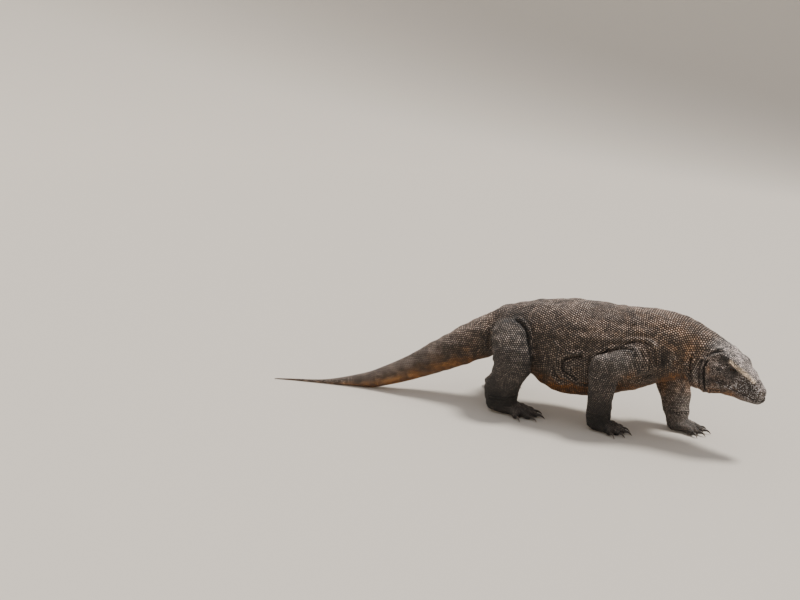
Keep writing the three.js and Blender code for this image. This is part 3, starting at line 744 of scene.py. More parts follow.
# x, y, z along each fold of the body, then its depth and half width; a negative depth is a ridge
for line, depth, width in [
    # before and behind the right thigh
    ([(-40, -150, 520), (-5, -163, 508), (27, -181, 480), (50, -199, 427), (63, -215, 385), (76, -222, 327),
      (76, -190, 275), (70, -160, 240)], 13, 10.5),
    ([(0, -150, 545), (50, -170, 505), (80, -190, 440), (98, -205, 380)], 3.5, 9),
    ([(-169, -112, 461), (-150, -170, 434), (-138, -200, 399), (-130, -200, 350)], 8, 9),
    ([(-200, -116, 432), (-198, -118, 376), (-200, -106, 326)], 5, 8),
    ([(-226, -116, 405), (-226, -116, 354), (-228, -106, 310)], 4, 7),
    # across the thigh and behind the knee
    ([(-120, -230, 345), (-70, -285, 335), (0, -285, 322), (45, -260, 318)], 3, 8),
    ([(-125, -230, 300), (-80, -280, 292), (-20, -290, 285), (40, -270, 290)], 3.5, 8),
    ([(-150, -230, 190), (-130, -250, 205), (-90, -255, 214)], 3.5, 7),
    # before the left thigh, which is drawn back
    ([(-40, 150, 520), (-12, 163, 505), (4, 181, 460), (-8, 199, 410), (-22, 215, 350),
      (-30, 200, 290)], 10, 9),
    # the pushed-in patch on the flank, with its raised rim
    ([(345, -208, 402), (310, -207, 392), (278, -207, 380), (252, -205, 362), (242, -200, 326),
      (254, -194, 297), (285, -189, 278), (330, -180, 270)], 15, 10.5),
    ([(345, -205, 356), (312, -205, 350), (288, -202, 330), (296, -195, 304)], -10, 9),
    ([(196, -200, 452), (226, -205, 428), (222, -204, 396), (218, -200, 350)], -10, 9),
    ([(262, -206, 418), (300, -206, 414), (340, -206, 424)], -9, 9),
    ([(196, -190, 318), (206, -182, 272), (236, -165, 236)], 8, 10),
    ([(330, -170, 250), (380, -165, 244), (420, -170, 256)], 6, 9),
    ([(150, -205, 410), (162, -206, 355), (176, -195, 300)], 5, 11),
    ([(395, -205, 420), (386, -205, 370), (392, -195, 310)], 7, 10),
    # above and behind the right upper arm, and up over the shoulder blade
    ([(420, -205, 350), (436, -205, 400), (457, -204, 440), (482, -200, 458), (524, -196, 470),
      (562, -198, 479), (605, -205, 481)], 9, 7.5),
    ([(440, -200, 470), (480, -192, 492), (524, -188, 500), (560, -184, 512)], 4, 7),
    ([(524, -191, 477), (547, -176, 532), (563, -165, 553), (585, -138, 596)], 4.5, 9),
    ([(540, -189, 480), (564, -182, 503), (601, -175, 520), (624, -172, 526), (672, -168, 522),
      (705, -165, 506), (723, -164, 459), (727, -159, 415)], 7, 8),
    ([(590, -178, 534), (640, -172, 544), (690, -167, 535), (733, -162, 504), (748, -158, 462)], -6, 8),
    ([(616, -214, 474), (630, -229, 432), (632, -225, 367)], 4, 8),
    ([(648, -205, 492), (662, -205, 470), (664, -200, 436), (656, -200, 404)], 6, 8),
    ([(684, -190, 494), (698, -185, 462), (700, -180, 424), (692, -175, 388)], 5.5, 8),
    ([(620, -141, 296), (666, -140, 320), (703, -144, 352)], 6, 7),
    # side of the neck before the shoulder
    ([(734, -157, 506), (746, -157, 478), (748, -157, 452), (764, -151, 424)], 5.5, 9),
    ([(758, -157, 492), (764, -157, 462), (780, -154, 440)], 4, 7),
    ([(800, -150, 480), (810, -148, 440), (806, -140, 400)], 4, 9),
    ([(860, -128, 428), (882, -126, 430), (898, -128, 439), (907, -132, 462)], -5, 7),
    ([(894, -130, 480), (891, -126, 428), (897, -114, 362), (911, -88, 323)], 5, 7),
    # the left arm, which is stretched forward
    ([(640, 160, 500), (690, 168, 520), (750, 162, 515), (806, 150, 480), (834, 140, 430)], 6, 9),
    ([(680, 120, 300), (720, 120, 312), (770, 110, 326), (820, 100, 338)], 5, 8),
    ([(850, 128, 428), (882, 126, 434), (905, 130, 462)], 4, 7),
    # knee, elbow and ankles
    ([(-114, -251, 262), (-51, -290, 272), (0, -290, 268), (30, -280, 262)], 4, 8),
    ([(-120, -215, 108), (-70, -240, 112), (-38, -240, 118), (-8, -225, 124), (16, -190, 128)], 5, 5.5),
    ([(-120, -215, 90), (-78, -238, 94), (-29, -239, 104), (4, -199, 106)], 4.5, 5),
    ([(402, -200, 104), (440, -224, 100), (490, -222, 100), (524, -190, 104)], 3.5, 6),
    ([(520, -225, 300), (546, -215, 318), (556, -190, 340)], 5, 7),
    ([(420, -240, 336), (452, -270, 330), (500, -280, 336)], 3, 7),
    ([(772, 60, 98), (800, 48, 104), (850, 46, 104), (890, 70, 98)], 3.5, 6),
    ([(772, 130, 98), (800, 146, 104), (850, 146, 104), (890, 120, 98)], 3.5, 6),
]:
    CREASES.append((*on_trunk(line), depth, width))


def distance_to_line(points, line):
    """Distance from each point to the nearest place on a line of straight stretches."""
    best = np.full(len(points), np.inf)
    for start, end in zip(line[:-1], line[1:]):
        step = end - start
        share = np.clip((points - start) @ step / (step @ step), 0, 1)
        best = np.minimum(best, np.linalg.norm(points - start - share[:, None] * step, axis=1))
    return best


def beside(points, line, width):
    """True within four half widths of the box round a line."""
    return np.all((points > line.min(0) - 4 * width) & (points < line.max(0) + 4 * width), axis=1)


ripple_random = np.random.default_rng(3)
RIPPLES = [
    (unit(ripple_random.normal(size=3)) * 2 * np.pi / length, phase)
    for length, phase in zip(ripple_random.uniform(45, 120, 12), ripple_random.uniform(0, 6, 12))
]


def fold_height(points):
    """Sum over the creases of depth (0.45 bell((x - 2.1) / 1.1) - bell(x)), with x the distance to the
    line in half widths and bell(x) = exp(-x x), and a slack of a dozen long sine waves of 0.7 mm."""
    flat = points.reshape(-1, 3)
    height = np.zeros(len(flat))
    for line, _, depth, width in CREASES:
        near = beside(flat, line, width)
        x = distance_to_line(flat[near], line) / width
        height[near] += depth * (0.45 * bell(x, 2.1, 1.1) - bell(x))
    for wave, phase in RIPPLES:
        height += 0.7 * np.sin(flat @ wave + phase)
    return height.reshape(points.shape[:-1])


def in_folds(drawing):
    """How deep in a crease, and how high on the rim beside one, each point lies, from 0 to 1. The hide
    paints creases dark, partly as dirt and partly as shade, and rims pale as highlights.
    """
    deep, rim = np.zeros(len(drawing)), np.zeros(len(drawing))
    for line, outwards, depth, width in CREASES:
        near = beside(drawing, line, width)
        # the skin has moved along the outward direction, so the line is tried at three depths
        lines = [line - outwards * depth * share for share in (0, 0.5, 1)]
        x = np.min([distance_to_line(drawing[near], moved) for moved in lines], axis=0) / width
        weight = min(abs(depth) / 9, 1.0)
        if depth > 0:
            deep[near] = np.maximum(deep[near], weight * bell(x, 0, 0.95))
            rim[near] = np.maximum(rim[near], weight * bell(x, 2.0, 0.9))
        else:
            rim[near] = np.maximum(rim[near], 1.5 * weight * bell(x))
    return deep, rim


def folded(points, outwards):
    """Points moved by the folds, and their directions tilted by the folds' slope."""
    drawing = in_drawing(points)
    side = unit(np.cross(outwards, UPWARDS) + 1e-6)
    other = np.cross(outwards, side)
    height = fold_height(drawing)
    tilt = [(fold_height(drawing + v * 1.5) - fold_height(drawing - v * 1.5)) / 3 for v in (side, other)]
    tilted = unit(outwards - tilt[0][:, None] * side - tilt[1][:, None] * other)
    return points + outwards * (height * MM)[:, None], tilted


trunk_points = folded(trunk_points, slope(whole, low, VOXEL, trunk_points))[0]
for name, (points, quads) in foot_skins.items():
    corner, _, field = foot_field[name]
    moved = folded(points, slope(field, corner, FOOT_VOXEL, points))[0]
    rise = smoothstep(points[:, 2], 0.03, 0.06)[:, None]
    foot_skins[name] = points + (moved - points) * rise, quads
print("folds:", len(CREASES))

# %% [markdown]
# ## The head
#
# The head is one grid from the cut in the neck to the tip of the snout. Its rings lie closer round
# the mouth and the eye. On top of the plain section come the features that make a face: the line of
# the mouth with full lips, nostrils with a raised rim, the slit of the ear, a pit for the eye and the
# swell of the jaw muscle.

# %% Features of the head
MOUTH_CORNER = 118.0
NOSTRIL_AT = np.array([308.0, 37.0, 15.0])
EAR_AT = np.array([40.0, 112.0, 26.0])


def head_coordinates(points):
    """Along, out from the middle, and up the head, for points of the drawing."""
    offset = points - NECK_JOINT
    return offset @ HEAD_AXIS, np.abs(offset @ HEAD_SIDE), offset @ HEAD_UP


def oval(x, y, half_x, half_y):
    """Distance from the middle of an oval as a share of its own half sizes."""
    return np.hypot(x / half_x, y / half_y)


def from_mouth(along, up):
    """Height over the line of the mouth."""
    return up - head_table(np.clip(along, 0, SNOUT_END))[..., 9]


def in_nostril(along, up):
    """Distance from the middle of the nostril, which leans forward, in its own half sizes."""
    return oval(along - NOSTRIL_AT[0] - 0.4 * (up - NOSTRIL_AT[2]), up - NOSTRIL_AT[2], 8.0, 5.0)


def in_ear(along, up):
    """Distance from the middle of the ear's slit, in its own half sizes. The slit leans a little."""
    return oval(along - EAR_AT[0] - 4 + 0.08 * (up - EAR_AT[2]), up - EAR_AT[2] + 4, 5.6, 27)


def tilted_bell(x, y, half_x, half_y, turn):
    """A bell over an oval that is turned by so many degrees."""
    cos, sin = math.cos(math.radians(turn)), math.sin(math.radians(turn))
    return bell(oval(x * cos + y * sin, y * cos - x * sin, half_x, half_y))


# swellings of the side of the face: along, up, half length, half height, turn in degrees, and how
# far they rise, or sink where negative
SWELLS = [
    (104, -22, 30, 42, 22, 6.5),  # jaw muscle
    (96, 58, 26, 15, 20, -4.5),  # hollow of the temple
    (126, 20, 20, 26, 0, 2.5),  # cheekbone behind the eye
    (168, 86, 40, 9, -12, 4.0),  # brow
    (168, 30, 26, 8, -6, -2.6),  # furrow under the eye
    (214, 30, 34, 12, -14, -3.4),  # hollow between eye and nostril
    (206, 62, 40, 6, -18, 2.2),  # edge that runs on from the brow to the nostril
    (290, 24, 22, 14, -10, 2.0),  # swell round the nostril
    (128, -46, 22, 18, 0, 3.0),  # pad at the corner of the mouth
]


def flank_of(out, at):
    """Share of the side of the head: nothing near its middle plane."""
    inner = float(np.interp(at, [0, 140, 200, 260, 320], [50, 40, 26, 18, 10]))
    return smoothstep(out, inner * 0.5, inner)


def feature_height(points):
    """How far the face rises or sinks: bells and steps of the distance to each feature."""
    along, out, up = head_coordinates(points)
    mouth, nostril, ear = from_mouth(along, up), in_nostril(along, up), in_ear(along, up)
    lips = smoothstep(along, MOUTH_CORNER - 8, MOUTH_CORNER + 12) * (1 - 0.8 * smoothstep(along, 346, 362))
    rise = lips * (1.5 * bell(np.abs(mouth), 7.5, 4) - 3.6 * bell(mouth, 0, 2.3))
    nostril_pit = 9 * (1 - smoothstep(nostril, 0.55, 1.15))
    rise += smoothstep(out, 12, 22) * (1.6 * bell(nostril, 1.45, 0.4) - nostril_pit)
    ear_pit = 12 * (1 - smoothstep(ear, 0.5, 1.25))
    rise += smoothstep(out, 40, 64) * (2.4 * bell(ear, 1.7, 0.45) - ear_pit)
    eye = oval(along - EYE_AT[0], up - EYE_AT[2], 15.0, 11.5)
    rise -= smoothstep(out, 20, 40) * 11 * (1 - smoothstep(eye, 0.7, 1.2))
    for at, height, long, high, turn, amount in SWELLS:
        rise += flank_of(out, at) * amount * tilted_bell(along - at, up - height, long, high, turn)
    return rise


# %% The grid of the neck and head
HEAD_PLACES = np.unique(np.concatenate([
    np.arange(NECK_CUT + 6, NECK_END, 4.2),
    NECK_END + np.arange(0, 124, 3.3),
    NECK_END + np.arange(124, 204, 2.3),
    NECK_END + np.arange(204, 296, 3.0),
    NECK_END + np.arange(296, SNOUT_END + 0.1, 2.3),
    NECK_END + SNOUT_END + SNOUT_CAP * np.sin(np.radians([12, 28, 44, 60, 75])),
]))
SPLITS = [5, 6, 8, 9, 8, 5, 5, 8, 12, 10]
stretches = [np.linspace(a, b, n, endpoint=False) for a, b, n in zip(PLACES, PLACES[1:], SPLITS)]
half_turns = np.concatenate(stretches)
HEAD_TURNS = np.concatenate([half_turns, 1 - np.append(half_turns[1:], 0.5)[::-1]])

along, turn = crossed(HEAD_PLACES, HEAD_TURNS)
head_plain = body_surface(along, turn)
head_normals = grid_normals(head_plain)
# at the snout's narrow tip all directions fan out from one point inside it
fan = unit(head_plain - head_point(335, 0, -15))
at_tip = smoothstep(along, NECK_END + 342, NECK_END + 360)[..., None]
head_normals = unit(head_normals * (1 - at_tip) + fan * at_tip)
lift = fold_height(head_plain) + feature_height(head_plain) - COAT_DEPTH / MM
head_grid = head_plain + head_normals * lift[..., None]
SNOUT_TIP = head_surface(SNOUT_END + SNOUT_CAP, 0.0) - HEAD_AXIS * 1.5
print("head grid:", head_grid.shape)

# %% [markdown]
# ## Joining the skin
#
# The trunk's mesh is cut square at the tail, at the neck and above each ankle. The finer grids of
# tail, head and feet stop a few millimetres short of the cuts, and a strip of faces bridges each
# gap. The result is one closed surface, fine where the animal is fine and coarse where it is not.

# %% Building meshes from whole arrays
def linked(name, data):
    """A new object of the scene, at the origin."""
    made = bpy.data.objects.new(name, data)
    bpy.context.scene.collection.objects.link(made)
    return made


def new_object(name, data):
    """An object for a mesh with smooth faces, riding on the body."""
    data.shade_smooth()
    made = linked(name, data)
    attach(made, "root")
    return made


def mesh_from(name, points, *face_groups):
    """A mesh from points and groups of faces, each an array with one row a face."""
    data = bpy.data.meshes.new(name)
    corners = np.concatenate([group.ravel() for group in face_groups])
    sizes = np.concatenate([np.full(len(group), group.shape[1]) for group in face_groups])
    data.vertices.add(len(points))
    data.vertices.foreach_set("co", points.astype(np.float32).ravel())
    data.loops.add(len(corners))
    data.loops.foreach_set("vertex_index", corners.astype(np.int32))
    data.polygons.add(len(sizes))
    starts = np.concatenate([[0], np.cumsum(sizes)[:-1]])
    data.polygons.foreach_set("loop_start", starts.astype(np.int32))
    data.update(calc_edges=True)
    data.validate()
    return data


def write_shares(data, name, *columns):
    """Stores up to three shares for each point of a mesh as one vector attribute."""
    values = np.zeros((len(columns[0]), 3), np.float32)
    values[:, :len(columns)] = np.stack(columns, -1)
    data.attributes.new(name, "FLOAT_VECTOR", "POINT").data.foreach_set("vector", values.ravel())


# %% Cut and bridge
def cut_away(mesh, centre, normal, reach):
    """Removes what lies on the normal's side of a plane, within a reach of its centre."""
    centre = Vector(centre)
    faces = [f for f in mesh.faces if (f.calc_center_median() - centre).length < reach]
    edges = {e for f in faces for e in f.edges}
    verts = {v for f in faces for v in f.verts}
    bmesh.ops.bisect_plane(
        mesh, geom=[*verts, *edges, *faces], plane_co=centre, plane_no=Vector(normal), clear_outer=True
    )


def add_part(mesh, points, *face_groups):
    """Adds points and faces to the skin."""
    part = bpy.data.meshes.new("part")
    faces = [face for group in face_groups for face in group.tolist()]
    part.from_pydata(np.asarray(points).tolist(), [], faces)
    mesh.from_mesh(part)
    bpy.data.meshes.remove(part)


def bridge(mesh, centre, reach):
    """Joins the open rims that lie within reach of a centre by a strip of faces."""
    centre = Vector(centre)
    near = lambda edge: all((v.co - centre).length < reach for v in edge.verts)
    made = bmesh.ops.bridge_loops(mesh, edges=[e for e in mesh.edges if e.is_boundary and near(e)])
    return len(made["faces"])


skin_mesh = bmesh.new()
add_part(skin_mesh, trunk_points, trunk_quads)
joints = []
for at, facing, reach in [(TAIL_CUT, -1, 0.2), (NECK_CUT, 1, 0.215)]:
    middle, forward, _, _ = spine_frame(at)
    cut_away(skin_mesh, placed(middle), forward * facing, reach)
    joints.append((placed(middle), reach - 0.005))
ankles = {}
for name, (surface, end) in limbs.items():
    around = surface(along_at_height(LIMBS[name], ANKLE_CUT), np.linspace(0, 1, 24))
    ankles[name] = placed(around.mean(0) * [1, 1, 0] + [0, 0, ANKLE_CUT])
    cut_away(skin_mesh, ankles[name] + [0, 0, 0.003], (0, 0, -1), 0.17)
    joints.append((ankles[name], 0.105))
print("after the cuts:", len(skin_mesh.faces), "faces")

# %% Feet, tail and head join the trunk
for name, (points, quads) in foot_skins.items():
    foot = bmesh.new()
    add_part(foot, points, quads)
    cut_away(foot, ankles[name] - [0, 0, 0.003], (0, 0, 1), 0.17)
    cut_foot = bpy.data.meshes.new("cut_foot")
    foot.to_mesh(cut_foot)
    foot.free()
    skin_mesh.from_mesh(cut_foot)
    bpy.data.meshes.remove(cut_foot)
tail_tip = tail_grid[0].mean(0) - spine_frame(0.0)[1] * 1.0
add_part(
    skin_mesh,
    placed(np.vstack([tail_grid.reshape(-1, 3), tail_tip])),
    *grid_faces(*tail_grid.shape[:2], close_start=True),
)
add_part(
    skin_mesh,
    placed(np.vstack([head_grid.reshape(-1, 3), SNOUT_TIP])),
    *grid_faces(*head_grid.shape[:2], close_end=True),
)
for centre, reach in joints:
    print("bridge of", bridge(skin_mesh, centre, reach), "faces")
bmesh.ops.recalc_face_normals(skin_mesh, faces=skin_mesh.faces)
open_edges = sum(e.is_boundary for e in skin_mesh.edges)
volume = round(skin_mesh.calc_volume(), 4)
print("skin:", len(skin_mesh.faces), "faces,", open_edges, "open edges, volume", volume, "cubic metres")
skin_data = bpy.data.meshes.new("skin")
skin_mesh.to_mesh(skin_data)
skin_mesh.free()
skin = new_object("skin", skin_data)
FLESH = [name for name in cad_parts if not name.startswith("eye")]
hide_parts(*FLESH)

# %% [markdown]
# ## Claws
#
# A monitor digs and climbs with its claws, and walks with their tips on the ground. Each is a horn
# that leaves the toe level, arches over and comes down to the floor. It is a round tube carried
# along that curve, thinning to a point, and all twenty are joined in one mesh.

# %% Claws
CLAW_RINGS, CLAW_SIDES = 16, 12


def claw_grid(root, direction, reach, claw, scale):
    """A tube from inside the toe to the floor. Its half sizes fall from full to a blunt point, and
    the upright one is a tenth larger, as a claw is taller than it is wide."""
    thick = CLAW_RADIUS * scale
    at = lambda d, h, share: [*(root + direction * d + UPWARDS * h), thick * share, thick * share * 1.1]
    surface, end = round_tube([
        at(reach - 20, 18, 1.0),
        at(reach - 2, 19.5, 0.98),
        at(reach + claw * 0.3, 19.5, 0.76),
        at(reach + claw * 0.68, 14, 0.46),
        at(reach + claw * 0.92, 5.5, 0.2),
        at(reach + claw, 1.6, 0.07),
    ])
    return tube_mesh(surface, np.linspace(0, end, CLAW_RINGS), CLAW_SIDES)[0]


claw_points = np.array([claw_grid(*claw) for _, _, claws in feet.values() for claw in claws])
number, each = claw_points.shape[:2]
offset = (np.arange(number) * each)[:, None, None]
one_claw = grid_faces(CLAW_RINGS, CLAW_SIDES, True, True)
claw_faces = [(group[None] + offset).reshape(-1, group.shape[1]) for group in one_claw]
claw_data = mesh_from("claws", placed(claw_points.reshape(-1, 3)), *claw_faces)
claw_share = np.append(np.repeat(np.linspace(0, 1, CLAW_RINGS), CLAW_SIDES), [0, 1])
claw_turn = np.append(np.tile(np.arange(CLAW_SIDES) / CLAW_SIDES, CLAW_RINGS), [0, 0])
write_shares(claw_data, "claw", np.tile(claw_share, number), np.tile(np.cos(2 * np.pi * claw_turn), number))
claws = new_object("claws", claw_data)
print("claws:", number, "with", len(claw_data.polygons), "faces")

# %% [markdown]
# ## Eyes and lids
#
# The eye is a ball with a slight bulge over the iris, set so that it looks outwards and a little
# forwards. Two lids hold it in an almond-shaped opening: each is a thick rim that rests on the
# ball, a crease behind it, and then loose skin that runs out into the brow and the cheek. Both lids
# are one ring-shaped surface whose outermost ring dips under the skin of the head.

# %% Eyes
EYE_TURN = math.radians(24)


def eye_frame(sign):
    """Middle of an eye and its own directions: outwards, forwards and up."""
    outwards = math.cos(EYE_TURN) * HEAD_SIDE * sign + math.sin(EYE_TURN) * HEAD_AXIS
    forwards = math.cos(EYE_TURN) * HEAD_AXIS - math.sin(EYE_TURN) * HEAD_SIDE * sign
    return head_point(EYE_AT[0], EYE_AT[1] * sign, EYE_AT[2]), outwards, forwards, HEAD_UP


def eyeball(sign):
    """Middle + radius (out cos p + (forward cos q + up sin q) sin p). The radius grows by half a
    millimetre within p < 0.75 of the eye's front."""
    middle, outwards, forwards, up = eye_frame(sign)
    polar, around = crossed(np.linspace(0.03, np.pi - 0.03, 40), circle(48))
    radius = (EYE_RADIUS + 0.5 * (1 - smoothstep(polar, 0.25, 0.75)))[..., None]
    ring = np.cos(around)[..., None] * forwards - np.sin(around)[..., None] * up * sign
    points = middle + radius * (np.cos(polar)[..., None] * outwards + np.sin(polar)[..., None] * ring)
    ends = np.stack([middle + (EYE_RADIUS + 0.5) * outwards, middle - EYE_RADIUS * outwards])
    return np.vstack([points.reshape(-1, 3), ends]), np.append(polar.ravel(), [0, np.pi]), points.shape[:2]


eyes = {}
for sign, name in [(1, "eye_right"), (-1, "eye_left")]:
    points, polar, size = eyeball(sign)
    data = mesh_from(name + "_ball", placed(points), *grid_faces(*size, close_start=True, close_end=True))
    write_shares(data, "gaze", polar)
    eyes[name] = new_object(name + "_ball", data)
    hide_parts(name)
    middle = Vector(placed(eye_frame(sign)[0]))
    volume = sum(f.area * f.normal.dot(f.center - middle) for f in data.polygons) / 3
    print(name, "faces:", len(data.polygons), "volume", round(volume * 1e6, 2), "ml")

# %% Lids
LID_OPENING = np.array([14.0, 9.4])
LID_WIDTH = 14.0
LID_STEPS = np.array([-1.6, -0.6, 0.2, 0.9, 1.8, 2.9, 4.2, 5.8, 7.6, 9.6, 11.6, 13.0, 14.4])
LID_SIDES = 72
skin_tree = BVHTree.FromPolygons(
    [tuple(v.co) for v in skin_data.vertices], [tuple(f.vertices) for f in skin_data.polygons]
)
lid_angles = circle(LID_SIDES)


def lid_plane(step, angle):
    """Forward and up in the eye's own plane: an almond whose corners lie fore and aft, (a + d) cos q
    and (b + 0.95 d) sin q |sin q|^0.4 at the opening, turning into a plain oval further out."""
    half = LID_OPENING + np.stack([step, step * 0.95], -1)
    pointed = 0.4 * (1 - smoothstep(step, 0, 8))
    upright = np.sin(angle) * np.abs(np.sin(angle)) ** pointed
    return half[..., 0] * np.cos(angle), half[..., 1] * upright


def rim_heights(sign):
    """Height of the head's skin over the eye's middle, round the lids' outer edge."""
    middle, outwards, forwards, up = eye_frame(sign)
    x, y = lid_plane(np.full(LID_SIDES, LID_WIDTH), lid_angles)
    starts = placed(middle + x[:, None] * forwards + y[:, None] * up + 60 * outwards)
    hits = [skin_tree.ray_cast(Vector(start), Vector(-outwards))[3] for start in starts]
    return 60 - np.array([hit if hit is not None else 0.06 for hit in hits]) / MM


RIM_HEIGHTS = {sign: rim_heights(sign) for sign in (1, -1)}


def lid_surface(sign, step, angle):
    """Height over the eye's middle: on the ball inside the opening, on a shell 2.2 mm larger at the
    rim, sinking in a crease 4 mm out, and then mixed into the height of the head's skin."""
    step, angle = paired(step, angle)
    middle, outwards, forwards, up = eye_frame(sign)
    x, y = lid_plane(step, angle)
    proud = 0.2 + 2.0 * smoothstep(step, -0.8, 0.9)
    shell = np.sqrt(np.maximum((EYE_RADIUS + proud) ** 2 - np.minimum(x * x + y * y, 190), 0))
    rim = np.interp(angle, lid_angles, RIM_HEIGHTS[sign], period=2 * np.pi)
    height = shell + (rim - shell) * smoothstep(step, 1.0, LID_WIDTH)
    height = height - 0.9 * bell(step, 4.2, 1.1)
    height = height - 1.6 * smoothstep(step, LID_WIDTH - 1.2, LID_WIDTH + 0.4)
    return middle + x[..., None] * forwards + y[..., None] * up + height[..., None] * outwards


lid_meshes = []
for sign in (1, -1):
    grid = placed(lid_surface(sign, *crossed(LID_STEPS, lid_angles)))
    quads, _ = grid_faces(*grid.shape[:2])
    lid_meshes.append((grid.reshape(-1, 3), quads[:, ::-1] if sign > 0 else quads))
rim = RIM_HEIGHTS[1]
print("skin's height round the eye:", rim.min().round(1), "to", rim.max().round(1), "mm")
(right_points, right_faces), (left_points, left_faces) = lid_meshes
lid_faces = np.vstack([right_faces, left_faces + len(right_points)])
lid_data = mesh_from("lids", np.vstack([right_points, left_points]), lid_faces)
lids = new_object("lids", lid_data)
facing = np.mean([f.normal.dot(Vector(eye_frame(1)[1])) for f in lid_data.polygons[:len(right_faces)]])
print("right lids face outwards:", round(float(facing), 2))

# %% [markdown]
# ## Rows of scales
#
# A monitor's hide is paved with small beads of bone under horn, in rows that cross each other. Near
# the outline and in low light only real bumps look right, so each scale is a small mesh of its own.
#
# The rows are rings round the body, each shifted by half a scale against the last, as in a
# honeycomb. The number in a ring stays the same while the body swells a little and changes when the
# scales would be more than a tenth too wide or narrow. Each root then settles on the melted skin.

# %% Rings of roots
def ring_rows(surface, start, end, pitch):
    """Distances and turns of the roots of scales on a tube. A ring of length L holds n roots, evenly
    spaced along it, and the next ring is 0.87 L / n further on and half a step round. Where a bend
    spreads the rings by more than an eighth, the step is shortened to match."""
    turns = np.linspace(0, 1, 241)
    rows, along, count, k = [], start, 0, 0
    while along < end:
        points = surface(np.full(241, along), turns)
        lengths = distances(points)
        wanted = pitch(along) if callable(pitch) else pitch
        if count == 0 or abs(lengths[-1] / count / wanted - 1) > 0.09:
            count = max(6, round(lengths[-1] / wanted))
        places = (np.arange(count) + 0.5 * (k % 2)) * lengths[-1] / count
        rows.append(np.column_stack([np.full(count, along), np.interp(places, lengths, turns) % 1]))
        step = 0.866 * lengths[-1] / count
        widest = np.linalg.norm(surface(np.full(241, along + step), turns) - points, axis=1).max()
        along += step * min(1.0, 1.12 * step / widest)
        k += 1
    return np.vstack(rows)


def between(grid, places, turns, along, turn):
    """A grid of rings read at any distance and turn, by straight lines between its points, which run
    on a little past its first and last ring."""
    full = np.concatenate([grid, grid[:, :1]], axis=1)
    knots = np.append(turns, 1.0)
    i = np.clip(np.searchsorted(places, along, side="right") - 1, 0, len(places) - 2)
    j = np.clip(np.searchsorted(knots, turn, side="right") - 1, 0, len(turns) - 1)
    s = np.clip((along - places[i]) / (places[i + 1] - places[i]), -3, 3)[:, None]
    t = ((turn - knots[j]) / (knots[j + 1] - knots[j]))[:, None]
    near = full[i, j] * (1 - t) + full[i, j + 1] * t
    far = full[i + 1, j] * (1 - t) + full[i + 1, j + 1] * t
    return near * (1 - s) + far * s


def on_grid(grid, normals, places, turns, along, turn):
    """Places, outward and forward directions on a grid of rings."""
    here = between(grid, places, turns, along, turn)
    ahead, behind = (between(grid, places, turns, along + step, turn) for step in (2, -2))
    return placed(here), unit(between(normals, places, turns, along, turn)), unit(ahead - behind)


# %% Roots on tail, neck and head
def body_pitch(along):
    """Width of a scale at a distance along the body: small on the tail's end and on the snout, and
    largest on the neck."""
    tail = 4.0 + 7.6 * smoothstep(along, 0, TAIL_CUT * 0.8)
    trunk = 1.0 * smoothstep(along, TAIL_CUT, TAIL_CUT + 300)
    neck = 1.4 * smoothstep(along, NECK_END - 330, NECK_END - 150)
    head = smoothstep(along, NECK_END - 35, NECK_END + 75)
    face = smoothstep(along, NECK_END + 75, NECK_END + 190)
    return tail + trunk + neck - 6.0 * head - 2.0 * face


COATS = ["tail", "hips", "back", "head", "hind_right", "hind_left", "fore_right", "fore_left"]
roots = []


def add_roots(coat, strip, points, outwards, forwards, pitch, along, turn):
    """Keeps the roots of one tube for a coat, with points in metres and pitch in millimetres. Strips
    number the tubes of a coat, which get a band each when the skin is unrolled."""
    count = len(points)
    size = np.broadcast_to(np.asarray(pitch, float), count) * MM
    coat = np.broadcast_to(np.asarray(coat), count)
    roots.append({
        "coat": coat, "strip": np.full(count, strip), "at": points, "out": outwards,
        "fore": forwards, "pitch": size, "along": along, "turn": turn,
    })


spine_roots = ring_rows(body_surface, 3.0, BODY_END - 1.5, body_pitch)
along, turn = spine_roots.T
on_tail, on_head_grid = along < TAIL_CUT, along > NECK_CUT
tail_normals, head_grid_normals = grid_normals(tail_grid), grid_normals(head_grid)
for chosen, grid, normals, places, turns, coat in [
    (on_tail, tail_grid, tail_normals, tail_places, tail_turns, "tail"),
    (on_head_grid, head_grid, head_grid_normals, HEAD_PLACES, HEAD_TURNS, "head"),
]:
    a, t = along[chosen], turn[chosen]
    add_roots(coat, 0, *on_grid(grid, normals, places, turns, a, t), body_pitch(a), a, t)
print("roots on tail and head:", [len(r["at"]) for r in roots])

# %% Roots on trunk and limbs
limb_fields = [field for name, field in fields.items() if name != "trunk"]


def settled_roots(surface, rows, step, field, level, reach, own, others):
    """Roots laid on a tube's rings and settled on the melted skin: places, outward and forward
    directions, and True for those that moved less than a reach and lie nearest to their own tube."""
    along, turn = rows.T
    plain = placed(surface(along, turn))
    fore = unit(surface(along + step, turn) - surface(along - step, turn))
    points, outwards = settled(*field, plain, level)
    near = sampled(own, *field[1:], points)
    nearest = np.all([near < sampled(other, *field[1:], points) for other in others], axis=0)
    return points, outwards, fore, nearest & (np.linalg.norm(points - plain, axis=1) < reach)


def field_roots(coat, strip, surface, rows, pitch, own, others):
    """Adds the roots of the trunk or a limb, moved by the folds."""
    field = (whole, low, VOXEL)
    points, outwards, fore, kept = settled_roots(surface, rows, 3, field, -COAT_DEPTH, 0.05, own, others)
    points, outwards = folded(points[kept], outwards[kept])
    along, turn = rows[kept].T
    coat = coat(along) if callable(coat) else coat
    add_roots(coat, strip, points, outwards, fore[kept], pitch(along), along, turn)


